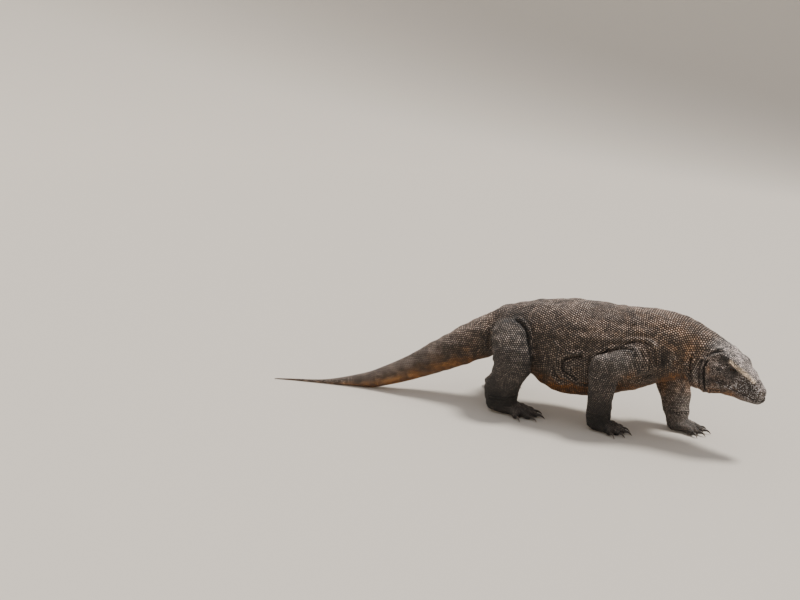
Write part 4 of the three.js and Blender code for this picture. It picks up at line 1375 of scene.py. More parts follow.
MIDDLE_CUT = float(np.interp(200, spine_rows[:, 1], spine_rows[:, 0]))
rest = spine_roots[~on_tail & ~on_head_grid]
trunk_coat = lambda along: np.where(along < MIDDLE_CUT, "hips", "back")
field_roots(trunk_coat, 0, body_surface, rest, body_pitch, fields["trunk"], limb_fields)
for name, (surface, end) in [*limbs.items(), ("upper_arm", (upper_arm, upper_arm_end))]:
    stop = along_at_height(LIMBS[name], ANKLE_CUT) if name in LIMBS else end
    others = [fields[other] for other in fields if other != name]
    # 12 mm on thigh and upper arm, and 8.4 at the ankle
    limb_pitch = lambda along: 12 - 3.6 * smoothstep(along, stop - 300, stop) * (name in LIMBS)
    rows = ring_rows(surface, 6.0, stop, limb_pitch)
    coat, strip = (name, 0) if name in LIMBS else ("fore_right", 1)
    field_roots(coat, strip, surface, rows, limb_pitch, fields[name], others)
print("roots on trunk and limbs:", [len(r["at"]) for r in roots[2:]])

# %% Roots on the feet
for name in FEET:
    corner, parts, field = foot_field[name]
    pad, toes, _ = feet[name]
    surface, end = limbs[name]
    start = along_at_height(LIMBS[name], ANKLE_CUT)
    tubes = [(surface, start, end, 7.5), (pad[0], 4.0, pad[1] - 4, 6.4)]
    tubes += [(toe, 12.0, toe_end - 1.0, 5.2) for toe, toe_end in toes]
    for strip, ((tube, first, last, pitch), own) in enumerate(zip(tubes, parts), 2):
        rows = ring_rows(tube, first, last, pitch)
        foot, others = (field, corner, FOOT_VOXEL), [part for part in parts if part is not own]
        points, outwards, fore, kept = settled_roots(tube, rows, 2, foot, 0.0, 0.03, own, others)
        kept &= (points[:, 2] > 0.0035) & (points[:, 2] < ANKLE_CUT * MM)
        add_roots(name, strip, points[kept], outwards[kept], fore[kept], pitch, *rows[kept].T)

# %% [markdown]
# ## Rows with an order of their own
#
# Along the lips runs one row of larger scales above the mouth and one below it, and round the eye
# granules sit in rings on the lids. Nothing grows in the nostril, in the ear or on the line of the
# mouth. The plain rings of the head are taken away from all these places first.

# %% Lips and lids
def in_lids(points):
    """True within 12 mm of either eye's opening, in the plane of that eye."""
    drawing = in_drawing(points)
    inside = np.zeros(len(points), bool)
    for sign in (1, -1):
        middle, outwards, forwards, up = eye_frame(sign)
        offset = drawing - middle
        around = oval(offset @ forwards, offset @ up, LID_OPENING[0] + 12.5, LID_OPENING[1] + 11.5)
        inside |= (around < 1) & (offset @ outwards > -6)
    return inside


LIPS_END = 334.0


def bare(points):
    """True in the nostrils, in the ears and on the line of the mouth."""
    along, out, up = head_coordinates(in_drawing(points))
    nostril = (in_nostril(along, up) < 1.05) & (out > 15)
    ear = (in_ear(along, up) < 1.0) & (out > 60)
    mouth = np.abs(from_mouth(along, up)) < 3.4
    mouth &= (along > MOUTH_CORNER - 6) & (along < LIPS_END + 16)
    return nostril | ear | mouth


def at_lips(points):
    """True where the rows of lip scales will lie, within 10.5 mm of the line of the mouth."""
    along, _, up = head_coordinates(in_drawing(points))
    return (np.abs(from_mouth(along, up)) < 10.5) & (along > MOUTH_CORNER) & (along < LIPS_END)


def only(some, kept):
    """The roots for which kept is true."""
    return {key: value[kept] for key, value in some.items()}


def plainly_covered(points):
    """True where the plain rows of scales stay."""
    return ~bare(points) & ~in_lids(points) & ~at_lips(points)


roots = [only(plain, plainly_covered(plain["at"])) for plain in roots]

lip_places = NECK_END + np.cumsum(np.concatenate([[MOUTH_CORNER + 3], np.linspace(8.6, 5.6, 29)]))
for strip, lip_turn in enumerate([PLACES[5] + 0.006, PLACES[7] - 0.006], 1):
    for turn in (lip_turn, 1 - lip_turn):
        a, t = lip_places, np.full(len(lip_places), turn)
        at, out, fore = on_grid(head_grid, head_grid_normals, HEAD_PLACES, HEAD_TURNS, a, t)
        add_roots("head", strip, at, out, fore, np.linspace(9.4, 6.6, len(a)), a, t)

for side, sign in enumerate((1, -1)):
    for step, size in [(1.7, 2.9), (4.4, 3.3), (7.4, 4.2), (11.0, 5.2)]:
        length = np.pi * (LID_OPENING.sum() + 2 * step)
        angle = circle(round(length / size)) + step
        at = lid_surface(sign, np.full(len(angle), step), angle)
        outer, onward = lid_surface(sign, step + 0.4, angle) - at, lid_surface(sign, step, angle + 0.03) - at
        out = unit(np.cross(outer, onward)) * sign
        out *= np.sign(out @ eye_frame(sign)[1])[:, None]
        place = np.full(len(angle), step)
        add_roots("head", 3 + side, placed(at), out, unit(outer), size, place, (angle / (2 * np.pi)) % 1)
root = {key: np.concatenate([r[key] for r in roots]) for key in roots[0]}
print("roots in all:", len(root["at"]))

# %% [markdown]
# ## Closing the gaps
#
# Rings on a bent tube crowd together inside the bend and spread outside it, and where two tubes melt
# a few places belong to neither. So any spot of skin that lies too far from every root gets one
# more. Then all roots push their nearest neighbours away a little, a few times over. In even rows
# the pushes cancel, and ragged places even out.

# %% Finding neighbours and gaps
NEIGHBOURS = 12
TURN_PER_METRE = 0.7  # as round the trunk, which is about 1.4 m


def tree_of(points):
    """A tree that finds the nearest of the points."""
    tree = KDTree(len(points))
    for i, point in enumerate(points):
        tree.insert(point, i)
    tree.balance()
    return tree


def nearest_roots(points, count):
    """Indices of the nearest other points of each point."""
    tree = tree_of(points)
    return np.array([[found[1] for found in tree.find_n(point, count + 1)[1:]] for point in points])


def fill_gaps(points, outwards, limit):
    """Adds a root at each spot of skin farther from all roots than the limit in pitches."""
    global root
    tree = tree_of(root["at"])
    found = [tree.find(point) for point in points]
    owner, distance = np.array([f[1] for f in found]), np.array([f[2] for f in found])
    share = distance / root["pitch"][owner]
    taken = []
    for i in np.argsort(-share):
        if share[i] < limit:
            break
        if all(np.sum((points[i] - points[j]) ** 2) > (0.85 * root["pitch"][owner[i]]) ** 2 for j in taken):
            taken.append(i)
    own = owner[taken]
    step = points[taken] - root["at"][own]
    extra = only(root, own)
    extra["at"], extra["out"] = points[taken], outwards[taken]
    extra["along"] = extra["along"] + np.sum(step * root["fore"][own], 1) / MM
    extra["turn"] = (extra["turn"] + TURN_PER_METRE * np.linalg.norm(step, axis=1)) % 1
    root = {key: np.concatenate([value, extra[key]]) for key, value in root.items()}
    return len(taken)


def read_vectors(items, key, count=3):
    """One value a point or face, such as its place, as an array."""
    values = np.empty(len(items) * count, np.float32)
    items.foreach_get(key, values)
    return values.reshape(-1, count).astype(float)


def too_close(other, share):
    """True where a root lies nearer to an earlier one than a share of the smaller pitch."""
    gap = np.linalg.norm(root["at"][other] - root["at"], axis=1)
    smaller = np.minimum(root["pitch"], root["pitch"][other])
    return (gap < share * smaller) & (other < np.arange(len(other)))


# %% Crowded roots out, extra roots in
near = nearest_roots(root["at"], 3)
crowded = np.any([too_close(near[:, k], 0.58) for k in range(3)], axis=0)
root = only(root, ~crowded)
print("roots dropped as crowded:", int(crowded.sum()))
skin_points = read_vectors(skin_data.vertices, "co")
skin_normals = read_vectors(skin_data.vertices, "normal")
large = read_vectors(skin_data.polygons, "area", 1)[:, 0] > 5e-5  # over half a square centimetre
spots = np.vstack([skin_points, read_vectors(skin_data.polygons, "center")[large]])
spot_normals = np.vstack([skin_normals, read_vectors(skin_data.polygons, "normal")[large]])
open_skin = (spots[:, 2] > 0.006) & plainly_covered(spots)
print("roots added in gaps:", fill_gaps(spots[open_skin], spot_normals[open_skin], 0.68))

# %% Fewer and larger plates of uneven size on the head
along = head_coordinates(in_drawing(root["at"]))[0]
plain_head = (root["coat"] == "head") & (root["strip"] == 0)
on_crown = plain_head * smoothstep(along, 40, 110) * smoothstep(root["out"] @ HEAD_UP, 0.3, 0.7)
on_face = plain_head * smoothstep(along, 20, 90)
root["pitch"] = root["pitch"] * (1 + 0.2 * on_crown)
merged = np.random.default_rng(5).random(len(along)) < 0.12 * on_face + 0.16 * on_crown
root = only(root, ~merged)
print("scales of the head given up for larger plates:", int(merged.sum()))

# %% Rounds of pushing
def pushed(points, outwards, near, pitch, fixed):
    """Each root moved away from neighbours nearer than 1.06 pitches: the sum of a fifth of what is
    missing, along the line from each, held to the skin's plane."""
    step = points[:, None] - points[near]
    distance = np.linalg.norm(step, axis=2)
    wanted = 0.53 * (pitch[:, None] + pitch[near])
    push = np.maximum(wanted - distance, 0) * 0.2 / np.maximum(distance, 1e-6)
    push[np.einsum("nkx,nx->nk", outwards[near], outwards) < 0.2] = 0
    move = np.sum(step * push[..., None], axis=1)
    move -= np.sum(move * outwards, 1)[:, None] * outwards
    return points + np.where(fixed[:, None], 0, move)


near = nearest_roots(root["at"], NEIGHBOURS)
special = (root["coat"] == "head") & (root["strip"] > 0)
for _ in range(8):
    root["at"] = pushed(root["at"], root["out"], near, root["pitch"], special)
crowded = too_close(near[:, 0], 0.5)
root = only(root, ~crowded)
print("roots:", len(root["at"]), "dropped as crowded:", int(crowded.sum()))

# %% Rows that are even on the back and a little uneven elsewhere, laid on the skin
unevenness = 0.012 + 0.03 * (1 - smoothstep(root["out"][:, 2], 0.1, 0.6))
unevenness = unevenness * root["pitch"] * (root["strip"] < 1)
root["at"] = root["at"] + np.random.default_rng(9).normal(size=root["at"].shape) * unevenness[:, None]
on_lids = in_lids(root["at"])
hits = [skin_tree.find_nearest(Vector(point)) for point in root["at"]]
hit_at, hit_out = np.array([h[0] for h in hits]), np.array([h[1] for h in hits])
# round the tip of the snout scales point away from a place inside it
near_tip = np.linalg.norm(root["at"] - placed(head_point(350, 0, -15)), axis=1) < 0.03
hit_out = np.where(near_tip[:, None], 4 * unit(root["at"] - placed(head_point(330, 0, -15))), hit_out)
moved = ~(special[~crowded] & on_lids)
root["at"] = np.where(moved[:, None], hit_at, root["at"])
root["out"] = unit(np.where(moved[:, None], unit(root["out"]) + 0.6 * hit_out, root["out"]))
print("roots laid on the skin:", int(moved.sum()))

# %% [markdown]
# ## Cells
#
# Packed scales shape each other: where rows slip past one another, each scale widens or narrows to
# fill its place, and only a fine groove is left. So a scale's outline is its cell: the part of the
# skin that is nearer to its root than to any other root. In a direction e the cell ends half way to
# a neighbour, at |d| |d| / (2 d.e) for the step d to that neighbour, and the nearest such end counts.

# %% Neighbours and cells
SPOKES = 8
spokes = np.stack([np.cos(circle(SPOKES)), np.sin(circle(SPOKES))], -1)
near = nearest_roots(root["at"], NEIGHBOURS)
out = root["out"] = unit(root["out"])
blunt = np.abs(np.sum(root["fore"] * out, 1)) > 0.8  # at the tip of the snout or of a toe
fore = np.where(blunt[:, None], UPWARDS, root["fore"])
fore = root["fore"] = unit(fore - np.sum(fore * out, 1)[:, None] * out)
side = root["side"] = np.cross(out, fore)
step = root["at"][near] - root["at"][:, None]
flat = np.stack([np.einsum("nkx,nx->nk", step, fore), np.einsum("nkx,nx->nk", step, side)], -1)
length = np.linalg.norm(flat, axis=-1)
faces_away = np.einsum("nkx,nx->nk", out[near], out) < 0.2
reach = np.einsum("nkc,sc->nsk", flat, spokes)
ends = length[:, None] ** 2 / (2 * np.maximum(reach, 1e-9))
ends[(reach < 0.05 * length[:, None]) | faces_away[:, None]] = np.inf
cell = np.minimum(ends.min(-1), 0.66 * root["pitch"][:, None])
cell = np.minimum(cell, 1.18 * cell.mean(1, keepdims=True))
count = len(cell)
print("scales:", count, "mean half width", round(float(cell.mean() / MM), 2), "mm")

# %% [markdown]
# ## Scales
#
# One scale has three levels: a rim sunk a little into the skin, a shoulder, and a top. Beads on the
# back stand high, belly scales lie nearly flat, and those on the tail carry a keel, a low ridge that
# runs towards the tail. All scales of one coat are worked out at once and joined in one mesh.

# %% Markings
# the pale edge over the eye, as along, across and up the head
BROW_LINE = [(146, 79, 89), (169, 74, 82), (213, 62, 74), (243, 54, 64), (284, 44, 58)]
# markings of the face, some of them painted shade: along, up, half length, half height, turn in
# degrees, then how dark, how pale and how rusty they are
FACE_MARKS = [
    (114, 90, 26, 17, 22, 1.0, 0, 0),  # behind the eye
    (50, 88, 42, 9, 63, 0.85, 0, 0),  # between nape and crown
    (77, -68, 72, 5.5, -65, 1.0, 0, 0),  # from the ear down to the throat
    (160, 52, 24, 17, 0, 0.95, 0, 0),  # lids, darkened as painted shade of the brow
    (176, 50, 26, 17, -8, 0.8, 0, 0),  # round the eye, darkened as painted shade of the brow
    (186, 20, 28, 13, -10, 0.5, 0, 0),  # under the eye
    (124, -40, 48, 24, 22, 0.75, 0, 0.15),  # cheek
    (250, 30, 36, 10, -14, 0.3, 0, 0),  # side of the snout
    (80, 48, 17, 24, 0, 0, 0.34, 0.15),  # before the ear
    (137, 34, 15, 12, 0, 0, 0.25, 0),  # cheekbone
    (66, -8, 15, 22, 0, 0, 0.1, 0.8),  # below the ear
    (12, -46, 84, 9, -60, 0, 0.6, 0),  # fold behind the ear
    (148, -66, 62, 5.5, 34, 0, 0.55, 0.2),  # along the jaw
    (128, 23, 5, 5, 0, 0, 0.7, 0),  # spot on the cheekbone
    (356, -4, 22, 40, 0, 0, 0.5, 0),  # tip of the snout
    (36, 120, 30, 15, -25, 0, 0.3, 0),  # nape
    (120, -120, 90, 26, 25, 0.38, 0, 1.0),  # under the jaw: rusty, and darkened as painted shade
]
# markings of the body, some of them painted shade: x, y, z, three half sizes, then dark, pale and rusty
BODY_MARKS = [
    (-50, -120, 520, 160, 120, 80, 0.85, 0, 0.15),  # over the hip
    (860, -10, 590, 150, 160, 80, 0.08, 0, 0.4),  # nape
    (761, -165, 440, 26, 70, 52, 0.75, 0, 0),  # pit before the shoulder, darkened as painted shade in the hollow
    (796, -160, 450, 9, 70, 45, 0, 0.4, 0),
    (815, -140, 462, 14, 60, 12, 0, 0.45, 0),
    (885, -140, 435, 24, 60, 9, 0, 0.4, 0),
    (540, -215, 540, 130, 120, 42, 0, 0.24, 0.45),  # shoulder blade
    (700, -185, 520, 34, 80, 28, 0, 0.4, 0.2),
    (830, -120, 530, 100, 90, 60, 0, 0.16, 0.2),
    (604, -230, 340, 50, 90, 38, 0, 0, 0.8),  # under the upper arm
    (645, -230, 478, 50, 70, 32, 0.5, 0, 0),  # painted shade under the shoulder's arched fold
    (620, -60, 620, 170, 150, 80, 0, 0, 0.25),
    (-80, -190, 130, 120, 120, 130, 0.9, 0, 0),  # right hind shank: its own dark grey, and painted shade
    (50, -208, 441, 9, 50, 30, 0.7, 0, 0),  # painted shade in the crease before the thigh
    (63, -210, 387, 9, 50, 34, 0.8, 0, 0),
    (73, -212, 330, 9, 50, 34, 0.8, 0, 0),
    (465, -175, 90, 90, 120, 170, 1.0, 0, 0),  # right forearm
    (566, -225, 420, 68, 60, 46, 0, 0.45, 0),  # right upper arm
    (560, -225, 368, 30, 60, 26, 0, 0.5, 0),
    (800, 120, 270, 110, 120, 90, 0.1, 0, 1.6),  # left arm
    (800, 110, 180, 50, 60, 110, 0, 0.6, 0.5),  # left forearm
    (870, 60, 150, 60, 80, 120, 0, 0.75, 0),
    (-1150, -290, 40, 260, 120, 120, 0, 0.3, 0.1),  # end of the tail
    (930, 70, 30, 60, 90, 45, 0, 0.22, 0.1),  # left fore foot
]

# %% Zones of the body
def zones(points, outwards):
    """Shares from 0 to 1 that tell the parts of the animal apart, read from the place and the outward
    direction alone, so that skin, lids and scales agree."""
    drawing = in_drawing(points)
    (x, y, z), downwards = drawing.T, -outwards[:, 2]
    along, out, up = head_coordinates(drawing)
    head = smoothstep(along, -30, 50) * smoothstep(up, -230, -190)
    limb_nearest = np.min([sampled(f, low, VOXEL, points) for f in limb_fields], axis=0)
    trunk_here = sampled(fields["trunk"], low, VOXEL, points)
    inside = np.all((points > low) & (points < low + VOXEL * np.array(whole.shape)), axis=1)
    limb = np.where(inside, smoothstep(trunk_here - limb_nearest, -0.028, 0.034), 0) * (1 - head)
    shoulder = smoothstep(x, 580, 670) * smoothstep(z, 330, 390) * (y < 0)
    limb = limb * (1 - 0.9 * shoulder)
    limb = np.where((z < ANKLE_CUT) & (x > -420), 1.0, limb)
    foot = limb * (1 - smoothstep(z, 45, 150))
    ceiling = 290 + 140 * smoothstep(x, 700, 800)
    belly = smoothstep(downwards + 0.1 * head, 0.2, 0.85) * (1 - limb)
    belly = belly * (1 - head * (1 - 0.8 * (1 - smoothstep(along, 190, 300))))
    belly = belly * (1 - smoothstep(z, ceiling - 60, ceiling + 20))
    # crown: the upward faces of the head, painted pale as a highlight of the sky
    crown = head * smoothstep(outwards @ HEAD_UP, 0.35, 0.7)
    edges = [np.array([head_point(a, c * sign, u) for a, c, u in BROW_LINE]) for sign in (1, -1)]
    brow = np.min([distance_to_line(drawing, edge) for edge in edges], axis=0)
    cream = (1 - smoothstep(brow, 6, 18)) * head
    lips = smoothstep(along, MOUTH_CORNER, MOUTH_CORNER + 40) * bell(from_mouth(along, up), 0, 13)
    snout = 0.85 * smoothstep(along, 190, 235) * (1 - crown) * smoothstep(up, -60, -30)
    speckled = np.maximum(lips * smoothstep(out, 3, 10), snout) * head
    neck = 0.45 * bell(x, 850, 120) * bell(z, 490, 80)
    under_tail = (1 - smoothstep(x, -520, -160)) * smoothstep(downwards, -0.35, 0.6)
    rust = np.maximum(neck, 1.3 * under_tail) * (1 - head) * (1 - limb)
    deep, rim = in_folds(drawing)
    # creases painted dark, partly as dirt and partly as shade; rims and ridges painted pale as highlights
    dark, pale = 0.9 * deep, (0.16 + 0.12 * head) * rim
    for at, height, long, high, turn, darker, paler, rustier in FACE_MARKS:
        here = tilted_bell(along - at, up - height, long, high, turn) * head * smoothstep(out, 4, 20)
        dark, pale, rust = dark + darker * here, pale + paler * here, rust + rustier * here
    for mark in BODY_MARKS:
        here = bell(np.linalg.norm((drawing - mark[:3]) / mark[3:6], axis=1)) * (1 - head)
        dark, pale, rust = dark + mark[6] * here, pale + mark[7] * here, rust + mark[8] * here
    # back is the share of upward faces, which the hide paints lighter, partly as light from above
    return {
        "belly": belly, "limb": limb, "foot": foot, "head": head, "crown": crown, "cream": cream,
        "speckled": speckled, "back": smoothstep(outwards[:, 2], 0.05, 0.95), "rust": np.minimum(rust, 1),
        "dark": np.minimum(dark, 1), "pale": np.minimum(pale, 1),
    }


zone = zones(root["at"], out)
print("share of scales on limbs:", round(float(zone["limb"].mean()), 2))

# %% Shape of each scale
random = np.random.default_rng(7)
dome = 0.26 * (1 - 0.62 * zone["belly"]) * (1 - 0.4 * zone["head"]) * (1 - 0.2 * zone["limb"])
dome = np.where(root["coat"] == "tail", 0.18, dome) * random.uniform(0.85, 1.15, count)
keel = np.where(root["coat"] == "tail", 0.8, 0.25) * (1 - zone["belly"]) * (1 - zone["head"])
RIM, GROOVE, SUNK = 0.94, 0.22 * MM, 0.3 * MM
shoulder_at = 0.63 + 0.12 * zone["head"]


def scale_points(chosen):
    """Rim, shoulder and top of the chosen scales. Rim: root + r spoke, sunk a little. Shoulder: 0.63 to
    0.75 of r, raised by 0.72 of the dome, and along the keel as high as the top, which leans back."""
    at, out, fore, side = (root[key][chosen][:, None] for key in ("at", "out", "fore", "side"))
    radius = (cell[chosen] - GROOVE)[..., None]
    direction = spokes[None, :, :1] * fore + spokes[None, :, 1:] * side
    height = (dome[chosen] * root["pitch"][chosen])[:, None, None]
    ridge = keel[chosen][:, None] * np.abs(spokes[:, 0]) ** 4
    raised = out * height * (0.72 + 0.28 * ridge)[..., None]
    rim = at + radius * RIM * direction - out * SUNK
    shoulder = at + radius * shoulder_at[chosen][:, None, None] * direction + raised
    top = at + out * height * 1.04 - fore * radius.mean(1, keepdims=True) * 0.12
    points = np.concatenate([rim, shoulder, top], axis=1)
    points[..., 2] = np.maximum(points[..., 2], 0)
    return points


def scale_faces(number):
    """Quads between rim and shoulder and triangles up to the top, for so many scales in a row."""
    k = np.arange(SPOKES)
    after = (k + 1) % SPOKES
    start = (np.arange(number) * (2 * SPOKES + 1))[:, None, None]
    quads = np.stack([k, after, SPOKES + after, SPOKES + k], -1)[None] + start
    triangles = np.stack([SPOKES + k, SPOKES + after, np.full(SPOKES, 2 * SPOKES)], -1)[None] + start
    return quads.reshape(-1, 4), triangles.reshape(-1, 3)


# %% Zones as attributes of a mesh
ZONES = {
    "zones_trunk": ("belly", "limb", "foot"),
    "zones_head": ("head", "crown", "cream"),
    "zones_back": ("speckled", "back", "rust"),
    "zones_mark": ("dark", "pale"),
}


def write_zones(data, zone, spread=1):
    """The zones as four attributes. Spread repeats each value, as for the points of one scale."""
    for name, keys in ZONES.items():
        write_shares(data, name, *[np.repeat(zone[key], spread) for key in keys])


# %% Unrolling the skin
def unrolled_places(chosen):
    """Place of each root in the unit square, with a band for each tube of the coat. Its length runs
    across the band, which is as wide as its share of rows, and turn runs up."""
    strips, share = root["strip"][chosen], np.zeros(len(chosen))
    start, rows = 0.0, {}
    for strip in np.unique(strips):
        part = strips == strip
        along = root["along"][chosen][part]
        rows[strip] = np.ptp(along) * MM / root["pitch"][chosen][part].mean() + 2
        share[part] = start + 1 + (along - along.min()) / max(np.ptp(along), 1e-6) * (rows[strip] - 2)
        start += rows[strip]
    return np.stack([share / start, 0.005 + 0.99 * root["turn"][chosen]], -1)


# %% The coats
PATCH = 0.003  # width of each scale's patch on the unrolled skin, as a share of it
tone = random.random(count)
coat_objects = []
for coat in COATS:
    chosen = np.nonzero(root["coat"] == coat)[0]
    points = scale_points(chosen)
    number, each = points.shape[:2]
    data = mesh_from("coat_" + coat, points.reshape(-1, 3), *scale_faces(number))
    write_zones(data, {key: value[chosen] for key, value in zone.items()}, each)
    tip = np.concatenate([np.zeros(SPOKES), np.full(SPOKES, 0.55), [1.0]])
    write_shares(data, "scale", np.tile(tip, number), np.repeat(tone[chosen], each))
    centre = unrolled_places(chosen)
    ring = np.concatenate([spokes, spokes * 0.65, [[0, 0]]]) * PATCH / 2
    unrolled = (centre[:, None] + ring[None]).reshape(-1, 2)
    corners = np.empty(len(data.loops), np.int32)
    data.loops.foreach_get("vertex_index", corners)
    data.uv_layers.new(name="OFBake").data.foreach_set("uv", unrolled[corners].astype(np.float32).ravel())
    made = new_object("coat_" + coat, data)
    coat_objects.append(made)
    print(made.name, number, "scales", number * 3 * SPOKES, "triangles")

# %% The same zones on skin and lids
write_zones(skin_data, zones(skin_points, skin_normals))
lid_normals = read_vectors(lid_data.vertices, "normal")
write_zones(lid_data, zones(read_vectors(lid_data.vertices, "co"), lid_normals))

# %% [markdown]
# ## Finishes
#
# A grown dragon looks earth brown from afar. Close up, each bead is pale on top, partly from wear and
# dust and partly as a painted highlight, and dark in the groove round it, partly its own dark and
# partly painted shade. The back is lighter than the flanks and the tops of the legs lighter than their
# sides, partly as painted light from above. The legs are slate grey, the belly and the underside of
# the tail are rusty, and the top of the head is painted pale as a highlight of the sky. Creases are
# painted dark, partly as dirt and partly as shade, and the rims beside them pale as highlights. All of
# that is one colour recipe, a node group that skin, lids and scales share, so that a marking never
# stops at the edge of a piece. It reads the zones that were stored with each point, and noise on
# Object coordinates for what is irregular.

# %% Short words for nodes
def feed(tree, socket, value):
    """Links an output to a socket, or sets the socket to a number or a colour."""
    if isinstance(value, bpy.types.NodeSocket):
        tree.links.new(value, socket)
    elif isinstance(value, tuple):
        socket.default_value = (*value, 1)
    else:
        socket.default_value = value


def node(tree, kind, inputs={}, **settings):
    """A new node of a tree, with its settings and what is fed to its inputs."""
    made = tree.nodes.new("ShaderNode" + kind)
    for key, value in settings.items():
        setattr(made, key, value)
    for key, value in inputs.items():
        feed(tree, made.inputs[key], value)
    return made


def mixed(tree, share, below, above, blend="MIX"):
    """A mix of two colours by a share."""
    inputs = {"Factor": share, "A": below, "B": above}
    made = node(tree, "Mix", inputs, data_type="RGBA", blend_type=blend, clamp_factor=True)
    return made.outputs["Result"]


def sum_of(tree, operation, *values):
    """The result of one step of arithmetic."""
    return node(tree, "Math", dict(enumerate(values)), operation=operation).outputs["Value"]


def ramp(tree, value, low, high, to_low=0.0, to_high=1.0):
    """A value carried smoothly from one range to another."""
    inputs = {"Value": value, "From Min": low, "From Max": high, "To Min": to_low, "To Max": to_high}
    return node(tree, "MapRange", inputs, interpolation_type="SMOOTHSTEP").outputs["Result"]


def stored(tree, name):
    """The three shares of a stored attribute."""
    read = node(tree, "Attribute", attribute_name=name)
    return node(tree, "SeparateXYZ", {"Vector": read.outputs["Vector"]}).outputs[:3]


def noise(tree, scale, detail=2.0):
    """Noise at so many swellings a metre, fixed to the body."""
    position = node(tree, "TexCoord").outputs["Object"]
    inputs = {"Vector": position, "Scale": scale, "Detail": detail}
    return node(tree, "TexNoise", inputs).outputs["Fac"]


def new_group(name, inputs, outputs):
    """An empty node group with named sockets: name, kind and, for inputs, the value it starts from."""
    group = bpy.data.node_groups.new(name, "ShaderNodeTree")
    for title, kind, value in inputs:
        socket = group.interface.new_socket(title, in_out="INPUT", socket_type="NodeSocket" + kind)
        socket.default_value = value
    for title, kind in outputs:
        group.interface.new_socket(title, in_out="OUTPUT", socket_type="NodeSocket" + kind)
    return group, group.nodes.new("NodeGroupInput").outputs, group.nodes.new("NodeGroupOutput").inputs


# %% Colours of the hide
HIDE = {
    # flank and back: the flanks darker and the back lighter, partly as painted shade and light from above
    "flank": (0.108, 0.076, 0.055),
    "back": (0.27, 0.18, 0.138),
    # worn: the pale of bead tops, partly wear and dust and partly a painted highlight
    "worn": (0.72, 0.6, 0.51),
    "rust": (0.28, 0.12, 0.03),
    "belly": (0.22, 0.08, 0.008),
    "limb": (0.072, 0.056, 0.048),
    # limb_top: the upward faces of the legs, painted lighter as lit from above
    "limb_top": (0.2, 0.165, 0.15),
    "foot": (0.04, 0.033, 0.029),
    "head": (0.14, 0.11, 0.1),
    # crown: the top of the head, painted pale as a highlight of the sky
    "crown": (0.58, 0.51, 0.49),
    "cream": (0.95, 0.78, 0.6),
    "speckle": (0.57, 0.56, 0.58),
    # pale: pale markings, and the painted highlights on the rims of folds
    "pale": (0.46, 0.4, 0.36),
}
hide, hide_in, hide_out = new_group(
    "hide colour",
    [("Tip", "Float", 0.0), ("Tone", "Float", 0.5), ("Groove", "Float", 0.2)],
    [("Color", "Color"), ("Wear", "Float")],
)
belly, limb, foot = stored(hide, "zones_trunk")
head, crown, cream = stored(hide, "zones_head")
speckled, back, rust = stored(hide, "zones_back")
dark, pale, _ = stored(hide, "zones_mark")
tone = hide_in["Tone"]
blotch = ramp(hide, noise(hide, 22, 3), 0.35, 0.68)
cloud = ramp(hide, noise(hide, 7, 2), 0.3, 0.7)


def times(first, *others):
    """The product of any number of values in the hide's group."""
    for other in others:
        first = sum_of(hide, "MULTIPLY", first, other)
    return first


def plus(first, second):
    """The sum of two values in the hide's group."""
    return sum_of(hide, "ADD", first, second)


def less(first, second):
    """The difference of two values in the hide's group."""
    return sum_of(hide, "SUBTRACT", first, second)


def varied(share, low, high):
    """A share from 0 to 1 carried smoothly to another range in the hide's group."""
    return ramp(hide, share, 0, 1, low, high)


# upward faces take the back's colour and the rest the flank's: partly painted light from above
colour = mixed(hide, times(back, varied(cloud, 0.75, 1.0)), HIDE["flank"], HIDE["back"])
# legs painted lighter on their upward faces, as a painted top light
legs = mixed(hide, back, HIDE["limb"], HIDE["limb_top"])
colour = mixed(hide, limb, colour, legs)
colour = mixed(hide, foot, colour, HIDE["foot"])
# the head's upward faces painted pale as a highlight of the sky
face = mixed(hide, times(crown, varied(blotch, 0.65, 1.0)), HIDE["head"], HIDE["crown"])
colour = mixed(hide, head, colour, face)
# pale tops of the beads, most on upward faces: partly wear and dust, partly a painted highlight
worn = times(ramp(hide, hide_in["Tip"], 0.45, 0.95), ramp(hide, tone, 0.1, 0.9, 0.4, 0.9))
colour = mixed(hide, times(worn, plus(times(back, 0.7), 0.12)), colour, HIDE["worn"])
rusty = times(rust, varied(blotch, 0.5, 1.1), less(1.0, times(worn, 0.5)))
colour = mixed(hide, rusty, colour, HIDE["rust"])
colour = mixed(hide, belly, colour, HIDE["belly"])
# pale markings, and painted highlights on the rims of folds
colour = mixed(hide, pale, colour, HIDE["pale"])
speckles = times(speckled, varied(blotch, 0.55, 1.0), ramp(hide, tone, 0.58, 0.75, 0.0, 0.85))
colour = mixed(hide, speckles, colour, HIDE["speckle"])
colour = mixed(hide, times(cream, varied(blotch, 0.6, 1.0)), colour, HIDE["cream"])
even = times(back, less(1.0, head))
lowest, highest = less(varied(even, 0.5, 0.7), times(head, 0.15)), varied(even, 1.6, 1.32)
shade = times(varied(blotch, 0.82, 1.4), varied(cloud, 0.82, 1.18), varied(tone, lowest, highest))
# dark markings, and painted shade in creases, hollows, under folds and round the eye
shade = times(shade, varied(dark, 1.0, 0.2), plus(1.0, times(cream, 0.3)), plus(1.0, times(rust, 0.3)))
# painted shade in the groove round each bead: brightness falls to the groove's share at the rim
tip = ramp(hide, hide_in["Tip"], 0.2, 0.86)
groove = plus(hide_in["Groove"], times(cream, 0.35))
shade = times(shade, plus(times(tip, less(1.0, groove)), groove))
grey = node(hide, "CombineColor", {"Red": shade, "Green": shade, "Blue": shade}).outputs["Color"]
feed(hide, hide_out["Color"], mixed(hide, 1.0, colour, grey, "MULTIPLY"))
feed(hide, hide_out["Wear"], times(tip, blotch))
print("hide colour:", len(hide.nodes), "nodes")

